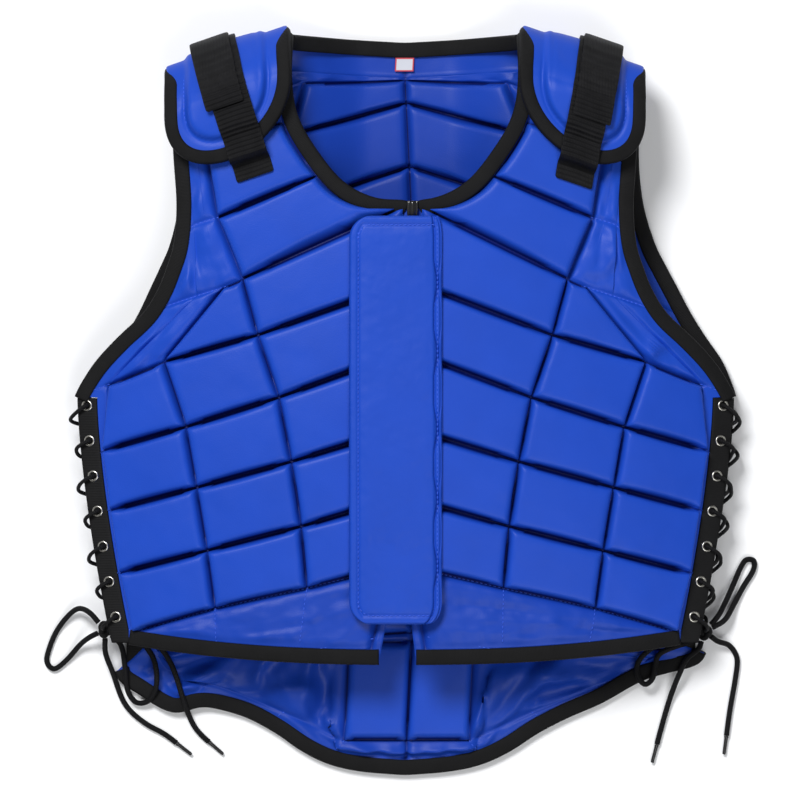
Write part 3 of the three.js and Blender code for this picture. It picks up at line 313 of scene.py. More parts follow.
def gridUv(rows, columns, wide, tall, closed=False):
    # Corner UVs in millimetres over the same quads, with no jump where the grid closes.
    steps = columns if closed else columns - 1
    u, v = np.arange(steps)[None] / steps, np.arange(rows - 1)[:, None] / (rows - 1)
    du, dv = 1 / steps, 1 / (rows - 1)
    u, v = np.broadcast_arrays(u, v)
    return np.stack([np.stack([u, v], -1), np.stack([u + du, v], -1), np.stack([u + du, v + dv], -1),
                     np.stack([u, v + dv], -1)], -2).reshape(-1, 4, 2) * (wide, tall)


def signedVolume(points, faces):
    a = points[faces[:, 0]]
    return sum(np.einsum("ij,ij->i", a, np.cross(points[faces[:, i]], points[faces[:, i + 1]])).sum()
               for i in range(1, faces.shape[1] - 1))


def makePiece(name, points, faceSets, material, nodes=(), uvSets=None):
    points = np.asarray(points, float).reshape(-1, 3)
    turned = sum(signedVolume(points, faces) for faces in faceSets) < 0
    if turned:
        faceSets = [faces[:, ::-1] for faces in faceSets]
        uvSets = uvSets and [uv[:, ::-1] for uv in uvSets]
    corners = np.concatenate([faces.ravel() for faces in faceSets])
    sizes = np.concatenate([np.full(len(faces), faces.shape[1]) for faces in faceSets])
    mesh = bpy.data.meshes.new(name)
    mesh.vertices.add(len(points))
    mesh.vertices.foreach_set("co", (points / 1000).ravel())
    mesh.loops.add(len(corners))
    mesh.loops.foreach_set("vertex_index", corners)
    mesh.polygons.add(len(sizes))
    mesh.polygons.foreach_set("loop_start", np.concatenate([[0], np.cumsum(sizes)[:-1]]))
    mesh.polygons.foreach_set("use_smooth", np.full(len(sizes), True))
    if uvSets:
        layer = mesh.uv_layers.new(name="surface")
        layer.data.foreach_set("uv", np.concatenate([uv.reshape(-1, 2) for uv in uvSets]).ravel() / 1000)
    mesh.update(calc_edges=True)
    mesh.validate()
    mesh.materials.append(material)
    piece = bpy.data.objects.new(name, mesh)
    scene.collection.objects.link(piece)
    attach(piece, "root")
    if nodes:
        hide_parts(*nodes)
    return piece


def shellFaces(rows, columns):
    # A top grid, a bottom grid turned over and the strip round their borders.
    top = gridFaces(rows, columns)
    index = np.arange(rows * columns).reshape(rows, columns)
    ring = np.concatenate([index[0, :-1], index[:-1, -1], index[-1, :0:-1], index[:0:-1, 0]])
    after = np.roll(ring, -1)
    off = rows * columns
    return np.concatenate([top, top[:, ::-1] + off, np.stack([after, ring, ring + off, after + off], -1)])


def makeShell(name, top, bottom, material, nodes=()):
    rows, columns = top.shape[:2]
    points = np.concatenate([top.reshape(-1, 3), bottom.reshape(-1, 3)])
    return makePiece(name, points, [shellFaces(rows, columns)], material, nodes)


def sweep(origin, across, up, profile):
    # point = origin + a * across + b * up, for each pair (a, b) of the closed profile; ends are capped.
    profile = np.broadcast_to(profile, (len(origin),) + np.shape(profile)[-2:])
    ring = origin[:, None] + profile[..., :1] * across[:, None] + profile[..., 1:] * up[:, None]
    rows, columns = ring.shape[:2]
    caps = np.stack([np.arange(columns)[::-1], (rows - 1) * columns + np.arange(columns)])
    length = np.linalg.norm(np.diff(origin, axis=0), axis=1).sum()
    girth = np.linalg.norm(np.diff(profile[0], axis=0), axis=1).sum()
    uvSets = [gridUv(rows, columns, girth, length, True), np.zeros((2, columns, 2))]
    return ring.reshape(-1, 3), [gridFaces(rows, columns, closed=True), caps], uvSets


def addNode(tree, kind, settings, inputs):
    node = tree.nodes.new("ShaderNode" + kind)
    for key, value in settings.items():
        setattr(node, key, value)
    for key, value in inputs.items():
        if isinstance(value, bpy.types.NodeSocket):
            tree.links.new(value, node.inputs[key])
        else:
            node.inputs[key].default_value = value
    return node


def newMaterial(name, shaderInputs):
    material = bpy.data.materials.new(name)
    material.use_nodes = True
    tree = material.node_tree
    shader = tree.nodes["Principled BSDF"]
    for key, value in shaderInputs.items():
        shader.inputs[key].default_value = value
    return material, tree, shader


def tinted(tree, shader, vector, colour, scale, spread):
    # Colour wanders by a few percent, as dye and wear do.
    noise = addNode(tree, "TexNoise", {}, {"Vector": vector, "Scale": scale, "Detail": 3.0})
    shade = addNode(tree, "MapRange", {}, {"Value": noise.outputs["Fac"], "From Min": 0.3, "From Max": 0.7,
                                          "To Min": 1 - spread, "To Max": 1 + spread})
    tint = addNode(tree, "HueSaturation", {}, {"Color": linearColour(colour), "Value": shade.outputs[0]})
    tree.links.new(tint.outputs[0], shader.inputs["Base Color"])
    return noise


def bumped(tree, shader, height, distance, strength=1.0):
    bump = addNode(tree, "Bump", {}, {"Height": height, "Distance": distance, "Strength": strength})
    tree.links.new(bump.outputs[0], shader.inputs["Normal"])


# Coated nylon taffeta over foam: dense and smooth, with a soft broad shine and no weave that the eye can see.
def shellCloth():
    material, tree, shader = newMaterial("coatedNylonTaffeta", {
        "Roughness": 0.44, "Specular IOR Level": 0.17, "Sheen Weight": 0.02, "Sheen Roughness": 0.4})
    shader.inputs["Sheen Tint"].default_value = linearColour("#5C80F0")
    place = addNode(tree, "TexCoord", {}, {}).outputs["Object"]
    tinted(tree, shader, place, "#1843B0", 26.0, 0.035)
    # Painted shade: an attribute darkens the cloth's colour towards a dark navy where the blocks shade the channels
    # between them, on the loose cloth of the skirt and the tail, and inside the neck.
    paintedShade = addNode(tree, "Attribute", {"attribute_name": "paintedShade"}, {})
    tint = shader.inputs["Base Color"].links[0].from_socket
    shadeColour = linearColour("#04145E")
    # Mix the painted shade colour into the cloth's tone, as far as the attribute says.
    deep = addNode(tree, "Mix", {"data_type": "RGBA"}, {0: paintedShade.outputs["Fac"], 6: tint, 7: shadeColour})
    tree.links.new(deep.outputs[2], shader.inputs["Base Color"])
    # Threads lie 0.25 mm apart; they are drawn 1 mm apart so that a trace of them shows.
    grain = addNode(tree, "TexNoise", {}, {"Vector": place, "Scale": 1000.0, "Detail": 1.0})
    crease = addNode(tree, "TexNoise", {}, {"Vector": place, "Scale": 70.0, "Detail": 4.0, "Distortion": 0.6})
    both = addNode(tree, "Math", {"operation": "MULTIPLY_ADD"},
                   {0: crease.outputs["Fac"], 1: 1.4, 2: grain.outputs["Fac"]})
    bumped(tree, shader, both.outputs[0], 0.00012, 0.6)
    return material


# Woven polyester edge tape: matt black, with fine cross ribs that catch a little light.
def edgeTape():
    material, tree, shader = newMaterial("wovenPolyesterTape", {
        "Roughness": 0.68, "Specular IOR Level": 0.1})
    uv = addNode(tree, "UVMap", {"uv_map": "surface"}, {}).outputs[0]
    tinted(tree, shader, addNode(tree, "TexCoord", {}, {}).outputs["Object"], "#151516", 60.0, 0.12)
    # Ribs 1.1 mm apart along the tape: the wave repeats every 2 * pi / (20 * scale).
    rib = addNode(tree, "TexWave", {"bands_direction": "Y"}, {"Vector": uv, "Scale": 285.0, "Distortion": 0.4})
    bumped(tree, shader, rib.outputs["Fac"], 0.00018, 0.7)
    return material


# Heavy ribbed webbing: the ribs are in the mesh, the yarns across them are bumps 1.2 mm apart.
def strapWebbing():
    material, tree, shader = newMaterial("ribbedPolyesterWebbing", {
        "Roughness": 0.58, "Specular IOR Level": 0.12})
    place = addNode(tree, "TexCoord", {}, {}).outputs["Object"]
    tinted(tree, shader, place, "#141416", 90.0, 0.2)
    yarn = addNode(tree, "TexWave", {"bands_direction": "X"}, {"Vector": place, "Scale": 262.0, "Distortion": 1.0})
    bumped(tree, shader, yarn.outputs["Fac"], 0.0003, 0.8)
    return material


# Round braided polyester lace: two sets of strands cross in small diamonds.
def braidedLace():
    material, tree, shader = newMaterial("braidedPolyesterLace", {
        "Roughness": 0.6, "Specular IOR Level": 0.12})
    shader.inputs["Base Color"].default_value = linearColour("#121214")
    uv = addNode(tree, "UVMap", {"uv_map": "surface"}, {}).outputs[0]
    turns = []
    for angle in (0.9, -0.9):
        slanted = addNode(tree, "Mapping", {}, {"Vector": uv, "Rotation": (0.0, 0.0, angle)})
        # Strands 1.3 mm wide.
        turns.append(addNode(tree, "TexWave", {}, {"Vector": slanted.outputs[0], "Scale": 240.0}).outputs["Fac"])
    crossed = addNode(tree, "Math", {"operation": "MULTIPLY"}, {0: turns[0], 1: turns[1]})
    bumped(tree, shader, crossed.outputs[0], 0.0004)
    return material


# Nickel plated brass, rolled and a little worn: warm grey metal with soft scratches.
def eyeletNickel():
    material, tree, shader = newMaterial("nickelPlatedBrass", {"Metallic": 1.0, "Roughness": 0.3})
    place = addNode(tree, "TexCoord", {}, {}).outputs["Object"]
    noise = tinted(tree, shader, place, "#B7B5AE", 900.0, 0.08)
    rough = addNode(tree, "MapRange", {}, {"Value": noise.outputs["Fac"], "To Min": 0.2, "To Max": 0.42})
    tree.links.new(rough.outputs[0], shader.inputs["Roughness"])
    return material


# Plain small finishes: shrunk tube on the lace tips, black enamel on the slider, thread, zip coil.
def plainFinish(name, colour, roughness, spread, scale, extra=()):
    material, tree, shader = newMaterial(name, {"Roughness": roughness, **dict(extra)})
    place = addNode(tree, "TexCoord", {}, {}).outputs["Object"]
    noise = tinted(tree, shader, place, colour, scale, spread)
    bumped(tree, shader, noise.outputs["Fac"], 0.00006, 0.5)
    return material


cloth, tape, webbing, lace, nickel = shellCloth(), edgeTape(), strapWebbing(), braidedLace(), eyeletNickel()
aglet = plainFinish("shrunkAcetateTube", "#131314", 0.34, 0.1, 300.0)
enamel = plainFinish("blackEnamel", "#151517", 0.25, 0.05, 300.0, {"Coat Weight": 0.6})
thread = plainFinish("spunPolyesterThread", "#2853CC", 0.6, 0.12, 600.0)
coil = plainFinish("mouldedZipCoil", "#1B1B1E", 0.45, 0.1, 600.0)


def addStudio():
    camera = bpy.data.cameras.new("camera")
    camera.sensor_width = 36.0
    camera.lens = 36.0 * (studio["distance"] - studio["level"]) / studio["width"]
    camera.clip_end = 50.0
    holder = bpy.data.objects.new("camera", camera)
    holder.location = (studio["middle"][0] / 1000, studio["middle"][1] / 1000, studio["distance"] / 1000)
    scene.collection.objects.link(holder)
    scene.camera = holder
    mesh = bpy.data.meshes.new("floor")
    mesh.from_pydata([(-6, -6, 0), (6, -6, 0), (6, 6, 0), (-6, 6, 0)], [], [(0, 1, 2, 3)])
    floor = bpy.data.objects.new("floor", mesh)
    scene.collection.objects.link(floor)
    material, _, shader = newMaterial("paperFloor", {"Roughness": 0.95, "Specular IOR Level": 0.1})
    shader.inputs["Base Color"].default_value = linearColour(studio["floorColour"])
    mesh.materials.append(material)
    for name, (place, size, power) in studio["lights"].items():
        lamp = bpy.data.lights.new(name, "AREA")
        lamp.shape = "DISK"
        lamp.size = size
        lamp.energy = power
        light = bpy.data.objects.new(name, lamp)
        light.location = place
        # A lamp shines along its own -Z, so it is tipped and then turned until that points at the vest.
        toVest = -np.array(place) / np.linalg.norm(place)
        light.rotation_euler = (math.acos(-toVest[2]), 0, math.atan2(toVest[0], -toVest[1]) + math.pi)
        scene.collection.objects.link(light)
    world = bpy.data.worlds.new("studio")
    world.use_nodes = True
    world.node_tree.nodes["Background"].inputs["Color"].default_value = (1, 1, 1, 1)
    world.node_tree.nodes["Background"].inputs["Strength"].default_value = studio["skyStrength"]
    scene.world = world
    scene.view_settings.view_transform = "Standard"
    scene.view_settings.look = "None"


addStudio()
print("camera, floor and light are set")

# Laces: the loose ends lie as the picture shows them, point by point.
laceSizes = {"diameter": 4.4, "agletLength": 15.0, "agletDiameter": 3.4, "knotRadius": 7.0, "gap": 0.3, "easing": 10}
knotShares = np.array([1, 1.15, 0.85])
knotPlaces = {"left": (-241, -184, 20), "right": (241, -186, 17)}
laceRoutes = {
    "left_outer_loop": [(-254, -170, 17), (-264, -167.5, 9), (-279, -183, 2.8), (-286.5, -199.5, 2.6),
                        (-288.5, -211, 2.6), (-283, -216.5, 2.6), (-273, -209.5, 2.9), (-261, -196, 8),
                        (-253, -190, 15)],
    "left_inner_loop": [(-228.5, -196, 14), (-225, -216, 13), (-223, -234, 9.6), (-216, -243.5, 5), (-206.5, -242, 7),
                        (-200, -231, 13), (-201.5, -209, 15), (-211, -195, 19), (-227, -186.5, 21)],
    "left_outer_tail": [(-241, -203, 13), (-235, -219, 10), (-225.5, -245, 3.8), (-209.5, -260, 2.7),
                        (-194, -268.5, 2.6), (-184, -276, 2.6)],
    "left_inner_tail": [(-230, -179, 24), (-209.5, -186, 24), (-195, -200, 23), (-186, -216, 16), (-177.5, -243, 14),
                        (-170, -262, 4.8), (-163, -270.5, 2.8), (-158, -275, 2.6)],
    "right_upper_loop": [(252, -173, 15), (258, -162, 10), (265, -147, 4.3), (270.5, -134.5, 2.8), (275, -128.2, 2.6),
                         (281, -129, 2.6), (281, -136, 2.6), (272.5, -150, 2.8), (265, -164, 4.5), (257, -177, 12)],
    "right_lower_loop": [(228, -184, 20), (212, -191, 24), (193, -203, 21), (186.5, -213, 15), (187.5, -222.5, 13.2),
                         (193, -228.5, 13.2), (199, -224, 13.8), (201, -213, 15.6), (204, -204, 20),
                         (216, -198, 21), (229, -194, 17)],
    "right_inner_tail": [(236, -200, 15), (227, -207, 15.5), (221.5, -218, 13.4), (214, -238, 4.2), (207, -262, 2.6),
                         (203, -277, 2.6)],
    "right_outer_tail": [(252, -194, 10), (261, -197, 6), (267.5, -207, 2.9), (266.5, -222, 2.6), (262, -248, 2.6),
                         (259, -270, 2.6)],
}


def smoothRoute(points, steps=12):
    # Centripetal Catmull-Rom through the points; the knots' spacing is the square root of each distance.
    p = np.array(points, float)
    p = np.vstack([2 * p[0] - p[1], p, 2 * p[-1] - p[-2]])
    t = np.linspace(0, 1, steps + 1)[:, None]
    spans = []
    for a, b, c, d in zip(p[:-3], p[1:-2], p[2:-1], p[3:]):
        e, f, g = (max(np.linalg.norm(n - m), 1e-6) ** 0.5 for m, n in ((a, b), (b, c), (c, d)))
        m0 = ((b - a) / e - (c - a) / (e + f) + (c - b) / f) * f
        m1 = ((c - b) / f - (d - b) / (f + g) + (d - c) / g) * f
        spans.append((2 * b - 2 * c + m0 + m1) * t ** 3 + (3 * c - 3 * b - 2 * m0 - m1) * t ** 2 + m0 * t + b)
    return np.vstack([spans[0]] + [s[1:] for s in spans[1:]])


def carriedFrames(path):
    # Two unit vectors square to the path; each station turns the last one's as little as it can.
    tangent = np.gradient(path, axis=0)
    tangent /= np.linalg.norm(tangent, axis=1, keepdims=True)
    side = np.array([0.0, 0.0, 1.0]) if abs(tangent[0, 2]) < 0.9 else np.array([0.0, 1.0, 0.0])
    ups = []
    for t in tangent:
        side = side - t * side.dot(t)
        side /= np.linalg.norm(side)
        ups.append(side)
    ups = np.array(ups)
    return np.cross(tangent, ups), ups


def circle(radius, sides):
    angle = np.arange(sides) * 2 * np.pi / sides
    return np.stack([radius * np.cos(angle), radius * np.sin(angle)], -1)


def cordTube(path, diameter, sides=10):
    across, up = carriedFrames(path)
    return sweep(path, across, up, circle(diameter / 2, sides))


def onKnot(knot, point):
    way = np.array(point, float) - knot
    way /= np.linalg.norm(way)
    return knot + way * (laceSizes["knotRadius"] / np.linalg.norm(way / knotShares) + laceSizes["gap"])


def lacePath(name):
    # The route from the knot's surface through its points, and back to the knot for a loop.
    knot = np.array(knotPlaces[name.split("_")[0]], float)
    points = laceRoutes[name]
    ends = [onKnot(knot, points[-1])] if name.endswith("loop") else []
    path = smoothRoute([onKnot(knot, points[0])] + points + ends)
    for _ in range(laceSizes["easing"]):
        path[1:-1] = (path[:-2] + 2 * path[1:-1] + path[2:]) / 4
    return path


def agletOn(name, path):
    # A short tube past the lace's end, a little flared where it grips the lace.
    heading = path[-1] - path[-3]
    heading /= np.linalg.norm(heading)
    shares = np.array([0.0, 0.0, 0.06, 0.12, 0.5, 0.9, 1.0, 1.0])
    widths = np.array([0.05, 0.98, 1.0, 0.86, 0.8, 0.8, 0.66, 0.05])
    origin = path[-1] + heading * (laceSizes["gap"] + shares * laceSizes["agletLength"])[:, None]
    across = np.tile(np.cross(heading, (0, 0, 1)) / np.linalg.norm(np.cross(heading, (0, 0, 1))), (len(shares), 1))
    up = np.cross(across, np.tile(heading, (len(shares), 1)))
    ring = circle(laceSizes["agletDiameter"] / 2 + 0.1, 14)[None] * widths[:, None, None]
    points, faces, uvs = sweep(origin, across, up, ring)
    return makePiece("dressed_aglet_" + name, points, faces, aglet, ["aglet_" + name], uvs)


for name in laceRoutes:
    path = lacePath(name)
    points, faces, uvs = cordTube(path, laceSizes["diameter"], 12)
    cordPiece = makePiece("loose_lace_" + name, points, faces, lace, ["lace_" + name], uvs)
    onIt = [agletOn(name, path)] if name.endswith("tail") else []


knotCoil = {"long": 2.9, "wide": 3.7, "high": 2.2, "swing": 0.42, "thick": 4.2}


def bowKnot(side, at):
    # Three wraps inside the knot's ellipsoid: a curve that winds twice round while it goes thrice across.
    t = np.linspace(0, 2 * np.pi, 121)
    wind = 1 + knotCoil["swing"] * np.cos(3 * t)
    path = np.stack([knotCoil["long"] * wind * np.cos(2 * t), knotCoil["wide"] * wind * np.sin(2 * t),
                     knotCoil["high"] * np.sin(3 * t)], -1) + at
    points, faces, uvs = cordTube(path, knotCoil["thick"], 12)
    makePiece("tied_knot_" + side, points, faces, lace, ["lace_knot_" + side], uvs)


for side, at in knotPlaces.items():
    bowKnot(side, np.array(at, float))
print("loose laces and knots are laid")


# The quilted panels.
def sideOut(face, y):
    # Half the width at a height: it narrows from chest to waist by share ** 1.5.
    drop = vest.armpitUp + vest.frontHemDown - vest.frontHemRise
    share = np.clip((vest.armpitUp - y) / drop, 0, 1)
    return (vest.chestHalf if face > 0 else vest.backSideHalf) - (vest.chestHalf - vest.waistHalf) * share ** 1.5


# The zip leans across by slant from the hem to the neck; below partsDown the halves spread by parting.
zipRun = {"slant": 12.0, "halfGap": 2.8, "partsDown": 176.0, "parting": 12.0}


def zipLine(y):
    return zipRun["slant"] * (0.5 + (y - neckBottomUp) / (neckBottomUp + vest.frontHemDown))


def zipEdge(side, y):
    below = np.maximum(-zipRun["partsDown"] - y, 0) / (vest.frontHemDown - zipRun["partsDown"])
    return zipRun["halfGap"] + side * zipLine(y) + zipRun["parting"] * below


def innerBorder(face, side, y):
    if face < 0:
        return 0.0 * y
    return np.where(y < neckBottomUp + 1, zipEdge(side, y), np.maximum(outAt(neckline, y), zipEdge(side, y)))


def outerBorder(face, y):
    above = outAt(armholes[face], np.maximum(y, vest.armpitUp + 0.2))
    return np.where(y < vest.armpitUp, sideOut(face, y) - vest.bandWidth, above)


leftDroop = {"at": -190.0, "deep": 17.0, "outerWidth": 28.0, "innerWidth": 19.0, "from": 182.0, "full": 240.0}
# Where the borders and the column seams meet the hem, as shares of it from the middle out.
hemShares = {1: np.array([0, 0.04, 0.3, 0.6, 0.86, 0.928]), -1: np.array([0, 0.24, 0.48, 0.74, 1])}


def hemAt(face, side, share):
    if face > 0:
        x = lerp(zipEdge(side, -vest.frontHemDown), sideOut(1, -vest.frontHemDown), share)
        return np.stack([x, -vest.frontHemDown + vest.frontHemRise * (np.abs(x) / vest.waistHalf) ** 2.4], -1)
    x, y = (np.interp(share, backHemShares, backHem[:, i]) for i in (0, 1))
    if side > 0:
        return np.stack([x, y], -1)
    return np.stack([x, y - vest.leftCornerSag * smooth(0.5, 0.95, share)], -1)


def drooped(x, y, side):
    # The left corner of the tail sags beside its fold, which pulls a notch into the hem.
    if side > 0:
        return y
    away = -x - leftDroop["at"]
    wide = np.where(away < 0, leftDroop["outerWidth"], leftDroop["innerWidth"])
    hang = smooth(leftDroop["from"], leftDroop["full"], -y)
    return y - leftDroop["deep"] * np.exp(-(away / wide) ** 2) * hang


def foldKnots(face, drop):
    # The ends of the borders and seams at a given drop below the shoulder's fold or the back neckline.
    arm = outAt(armholes[face], vest.shoulderPointUp - drop)
    if face > 0:
        neck = outAt(neckline, vest.neckPointUp - drop)
        x = np.array([neck] + [lerp(neck, arm, s) for s in (0.12, 0.32, 0.57, 0.85)] + [arm])
        return np.stack([x, foldUp(x) - drop], -1)
    x = np.array([0, vest.neckHalf] + [lerp(vest.neckHalf, arm, s) for s in (0.35, 0.7)] + [arm])
    return np.stack([x, backTop(x) - drop], -1)


def seamPoints(line):
    y = np.array(line[3]) * vest.frontHemDown
    return np.stack([np.array(line[2]) * sideOut(1, y), y], -1)


def latticeRows(face, side, density):
    # Each row of the dense grid: its knots on borders and column seams, its line's number and its share above it.
    lines = frontLines if face > 0 else backLines
    rows = []
    first = lines[0]

    def lineKnots(low, high, share):
        lowOuter = low[4] * vest.frontHemDown + (vest.armpitUp if low[4] == 0 else 0)
        highOuter = high[4] * vest.frontHemDown + (vest.armpitUp if high[4] == 0 else 0)
        innerUp = lerp(low[1], high[1], share) * vest.frontHemDown
        outerUp = lerp(lowOuter, highOuter, share)
        inner = np.array([float(innerBorder(face, side, np.array(innerUp))), innerUp])
        outer = np.array([float(outerBorder(face, np.array(outerUp))), outerUp])
        seams = lerp(seamPoints(low), seamPoints(high), share)
        if face < 0:
            return np.vstack([inner, seams, outer])
        margin = 5 if innerUp < neckBottomUp - 1 else 12
        start = lerp(inner, seams[0], margin / np.linalg.norm(inner - seams[0]))
        return np.vstack([inner, start, seams, outer])

    hem, bottom = hemAt(face, side, hemShares[face]), lineKnots(first, first, 0)
    for share in np.linspace(0, 1, density["hem"] + 1)[:-1]:
        rows.append((lerp(hem, bottom, share), -1, share))
    for r, low in enumerate(lines[:-1]):
        for share in spaced(density["block"] if abs(lines[r + 1][1] - low[1]) > 0.06 else 8)[:-1]:
            rows.append((lineKnots(low, lines[r + 1], share), r, share))
    last = lines[-1]
    knots, top = lineKnots(last, last, 0), foldKnots(face, vest.foldReach)
    for share in np.linspace(0, 1, density["top"] + 1)[:-1]:
        row = lerp(knots, top, share)
        if face > 0:
            row[0, 0] = max(outAt(neckline, row[0, 1]), row[0, 0] if share == 0 else 0)
            row[-1, 0] = outAt(armholes[1], row[-1, 1])
        rows.append((row, len(lines) - 1, share))
    for angle in np.linspace(90, 0.7, 12):
        drop = vest.foldReach * (1 - math.cos(math.radians(angle)))
        rows.append((foldKnots(face, drop), len(lines), 0))
    return rows


def backTop(x):
    # The back neckline, and outside it the shoulder line.
    neck = vest.neckPointUp - vest.backNeckDepth * (1 - (np.abs(x) / vest.neckHalf) ** 4)
    return np.where(np.abs(x) <= vest.neckHalf, neck, foldUp(x))


def spaced(count):
    # Shares from 0 to 1, denser at both ends, where a block's edge rounds.
    t = np.linspace(0, 1, count + 1)
    return lerp(t, (1 - np.cos(np.pi * t)) / 2, 0.72)


def edgeRise(distance, gap):
    # Quarter of a superellipse: nothing inside the gap, a steep wall, then the flat top.
    t = np.clip((distance - gap) / quilt["edgeRound"], 0, 1)
    return (1 - (1 - t) ** 2.6) ** (1 / 2.6)


def distanceTo(plan, edge):
    # Least distance from each point of the grid to the points of an edge, by rows to spare memory.
    return np.array([np.sqrt(((row[:, None] - edge[None]) ** 2).sum(-1).min(1)) for row in plan])


# Loose cloth on the front (1) and on the back (-1): strength of the folds, of broad and of fine crumples, how low a
# valley may go, the swell beside a block, and how far seams between blocks and beside cloth are drawn in.
looseCloth = {
    1: {"table": frontFolds, "folds": 1.7, "broad": 0.7, "fine": 0.35, "floor": -6, "swell": 2.0, "draw": (1, 1)},
    -1: {"table": tailFolds, "folds": 2.1, "broad": 1.7, "fine": 0.7, "floor": -3.4, "swell": 0,
         "draw": (0.8, 0.6)},
}


def panelGrid(face, side, density):
    # The plan of half a panel, from the middle line out, and the quilting line and column that each point is in.
    rows = latticeRows(face, side, density)
    knots = np.array([row[0] for row in rows])
    line = np.array([row[1] for row in rows])
    rowShare = np.array([row[2] for row in rows])
    strips = knots.shape[1] - 1
    first = 1 if face > 0 else 0
    counts = ([density["margin"]] if face > 0 else []) + [density["across"]] * 3 + [density["side"]]
    shares = [spaced(n)[:-1] if first <= i < first + 3 else np.linspace(0, 1, n + 1)[:-1]
              for i, n in enumerate(counts)]
    strip = np.concatenate([np.full(len(s), i) for i, s in enumerate(shares)] + [[strips - 1]])
    share = np.concatenate(shares + [[1.0]])
    plan = lerp(knots[:, strip], knots[:, strip + 1], share[None, :, None])
    # Between the knots the hem follows its own curve, and the rows above it ease into the first quilting line.
    hemRows = line == -1
    stops = hemShares[face]
    offCurve = hemAt(face, side, lerp(stops[strip], stops[strip + 1], share)) - plan[0]
    plan[hemRows] += (1 - rowShare[hemRows])[:, None, None] * offCurve[None]
    if face < 0:
        hemRows = line < 1
        plan[hemRows, :, 1] = drooped(plan[hemRows, :, 0], plan[hemRows, :, 1], side)
    lines = frontLines if face > 0 else backLines
    blocks = np.array([row[0] for row in lines] + [0, 0])[line]
    column = strip - first
    isBlock = (column[None] >= 0) & (column[None] < blocks[:, None]) & (line[:, None] >= 0)
    return SimpleNamespace(
        face=face, side=side, plan=plan, x=side * plan[..., 0], y=plan[..., 1], knots=knots, lines=lines, line=line,
        rowShare=rowShare, strip=strip, share=share, column=column, isBlock=isBlock,
        pastBlocks=column[None] == blocks[:, None])


def measureCells(grid):
    # Distances from each point to the four seams of its cell and to the taped border, in millimetres.
    width = np.linalg.norm(grid.knots[:, grid.strip + 1] - grid.knots[:, grid.strip], axis=-1)
    starts = np.flatnonzero((grid.rowShare == 0) & (grid.line < len(grid.lines)))
    cellOf = np.searchsorted(starts, np.arange(len(grid.line)), side="right") - 1
    low = grid.plan[starts[cellOf]]
    high = grid.plan[np.append(starts[1:], len(grid.line) - 1)[cellOf]]
    tall = np.linalg.norm(high - low, axis=-1)
    grid.toLeft, grid.toRight = grid.share[None] * width, (1 - grid.share[None]) * width
    grid.toLow, grid.toHigh = grid.rowShare[:, None] * tall, (1 - grid.rowShare[:, None]) * tall
    grid.stitched = np.minimum(grid.toLow, grid.toHigh)
    grid.near = np.minimum(np.minimum(grid.toLeft, grid.toRight), grid.stitched)
    grid.besideBlock = np.where(grid.pastBlocks, grid.toLeft, 99)
    taped = [grid.plan[0], grid.plan[:, -1]]
    if grid.face > 0:
        taped.append(grid.plan[grid.plan[:, 0, 1] > neckBottomUp - 8, 0])
    grid.border = distanceTo(grid.plan, np.concatenate(taped))


def blockShape(grid):
    # Share of its full height that a block has reached at each point, and half its thickness there.
    belly = lambda gap, t: gap[0] + gap[1] * np.sin(np.pi * np.clip(t, 0, 1)) ** 0.8
    columnGap = belly(quilt["columnGap"], grid.rowShare[:, None])
    rowGap = belly(quilt["rowGap"], grid.share[None])
    across = np.minimum(edgeRise(grid.toLeft, columnGap), edgeRise(grid.toRight, columnGap))
    along = np.minimum(edgeRise(grid.toLow, rowGap), edgeRise(grid.toHigh, rowGap))
    rise = across * along
    chance = np.random.default_rng(7 + (grid.side > 0) + 2 * (grid.face > 0))
    lean = chance.uniform(-1, 1, (len(grid.lines) + 2, grid.knots.shape[1] + 1, 3)) * quilt["tilt"]
    cell = lean[grid.line, :][:, grid.strip]
    tilted = cell[..., 0] * (grid.share[None] - 0.5) + cell[..., 1] * (grid.rowShare[:, None] - 0.5)
    arch = (np.sin(np.pi * grid.share)[None] * np.sin(np.pi * grid.rowShare)[:, None]) ** 0.6
    pucker = quilt["pucker"] * ripples(grid.x, grid.y, 21, 9) * np.exp(-grid.near / 5)
    uneven = quilt["wander"] * ripples(grid.x, grid.y, 5, 40)
    foam = vest.halfFoam - quilt["floor"] + quilt["crown"] * arch + tilted + uneven
    return rise, quilt["floor"] + (foam + pucker) * rise


def clothWave(grid):
    # Loose cloth has folds from the table and a crumple, and every stitched line is drawn in.
    loose, face, x, y = looseCloth[grid.face], grid.face, grid.x, grid.y
    beside = np.where(grid.column[None] == 3, grid.toLeft, grid.toRight + grid.toLeft)
    fade = lerp(0.15, 1, smooth(0, 9, grid.stitched)) * smooth(0, 7, beside)
    crumple = loose["broad"] * ripples(x, y, 11 + int(grid.side), 34) + loose["fine"] * ripples(x, y, 3, 14)
    # Beside a block the cloth swells away from the seam, so a valley runs along the block's edge.
    swell = loose["swell"] * smooth(0, 13, np.where(grid.pastBlocks, grid.toLeft, 14))
    wave = (loose["folds"] * foldsAt(loose["table"], x, y) + crumple + swell) * fade
    wave = np.where(grid.isBlock, 0, np.maximum(wave, loose["floor"])) * smooth(0, 6, foldUp(x) - y - 4)
    if face < 0:
        # On the back it shows only in the tail, below the padding, and inside the neck.
        wave = wave * smooth(-30, -6, paddingEnd(x) - y) + wave * (y > 200)
    sink = np.where(grid.isBlock, quilt["sink"] * np.exp(-(grid.near / 3.0) ** 2), np.maximum(
        quilt["pinch"] * np.exp(-(grid.stitched / 2.2) ** 2),
        quilt["sink"] * np.exp(-(grid.besideBlock / 3.0) ** 2)))
    sink = sink * smooth(6, 14, grid.border) * smooth(0, 8, foldUp(x) - y - 3)
    return wave * lerp(0.03, 1, smooth(9.5, 18, grid.border)) - sink * np.where(grid.isBlock, *loose["draw"])


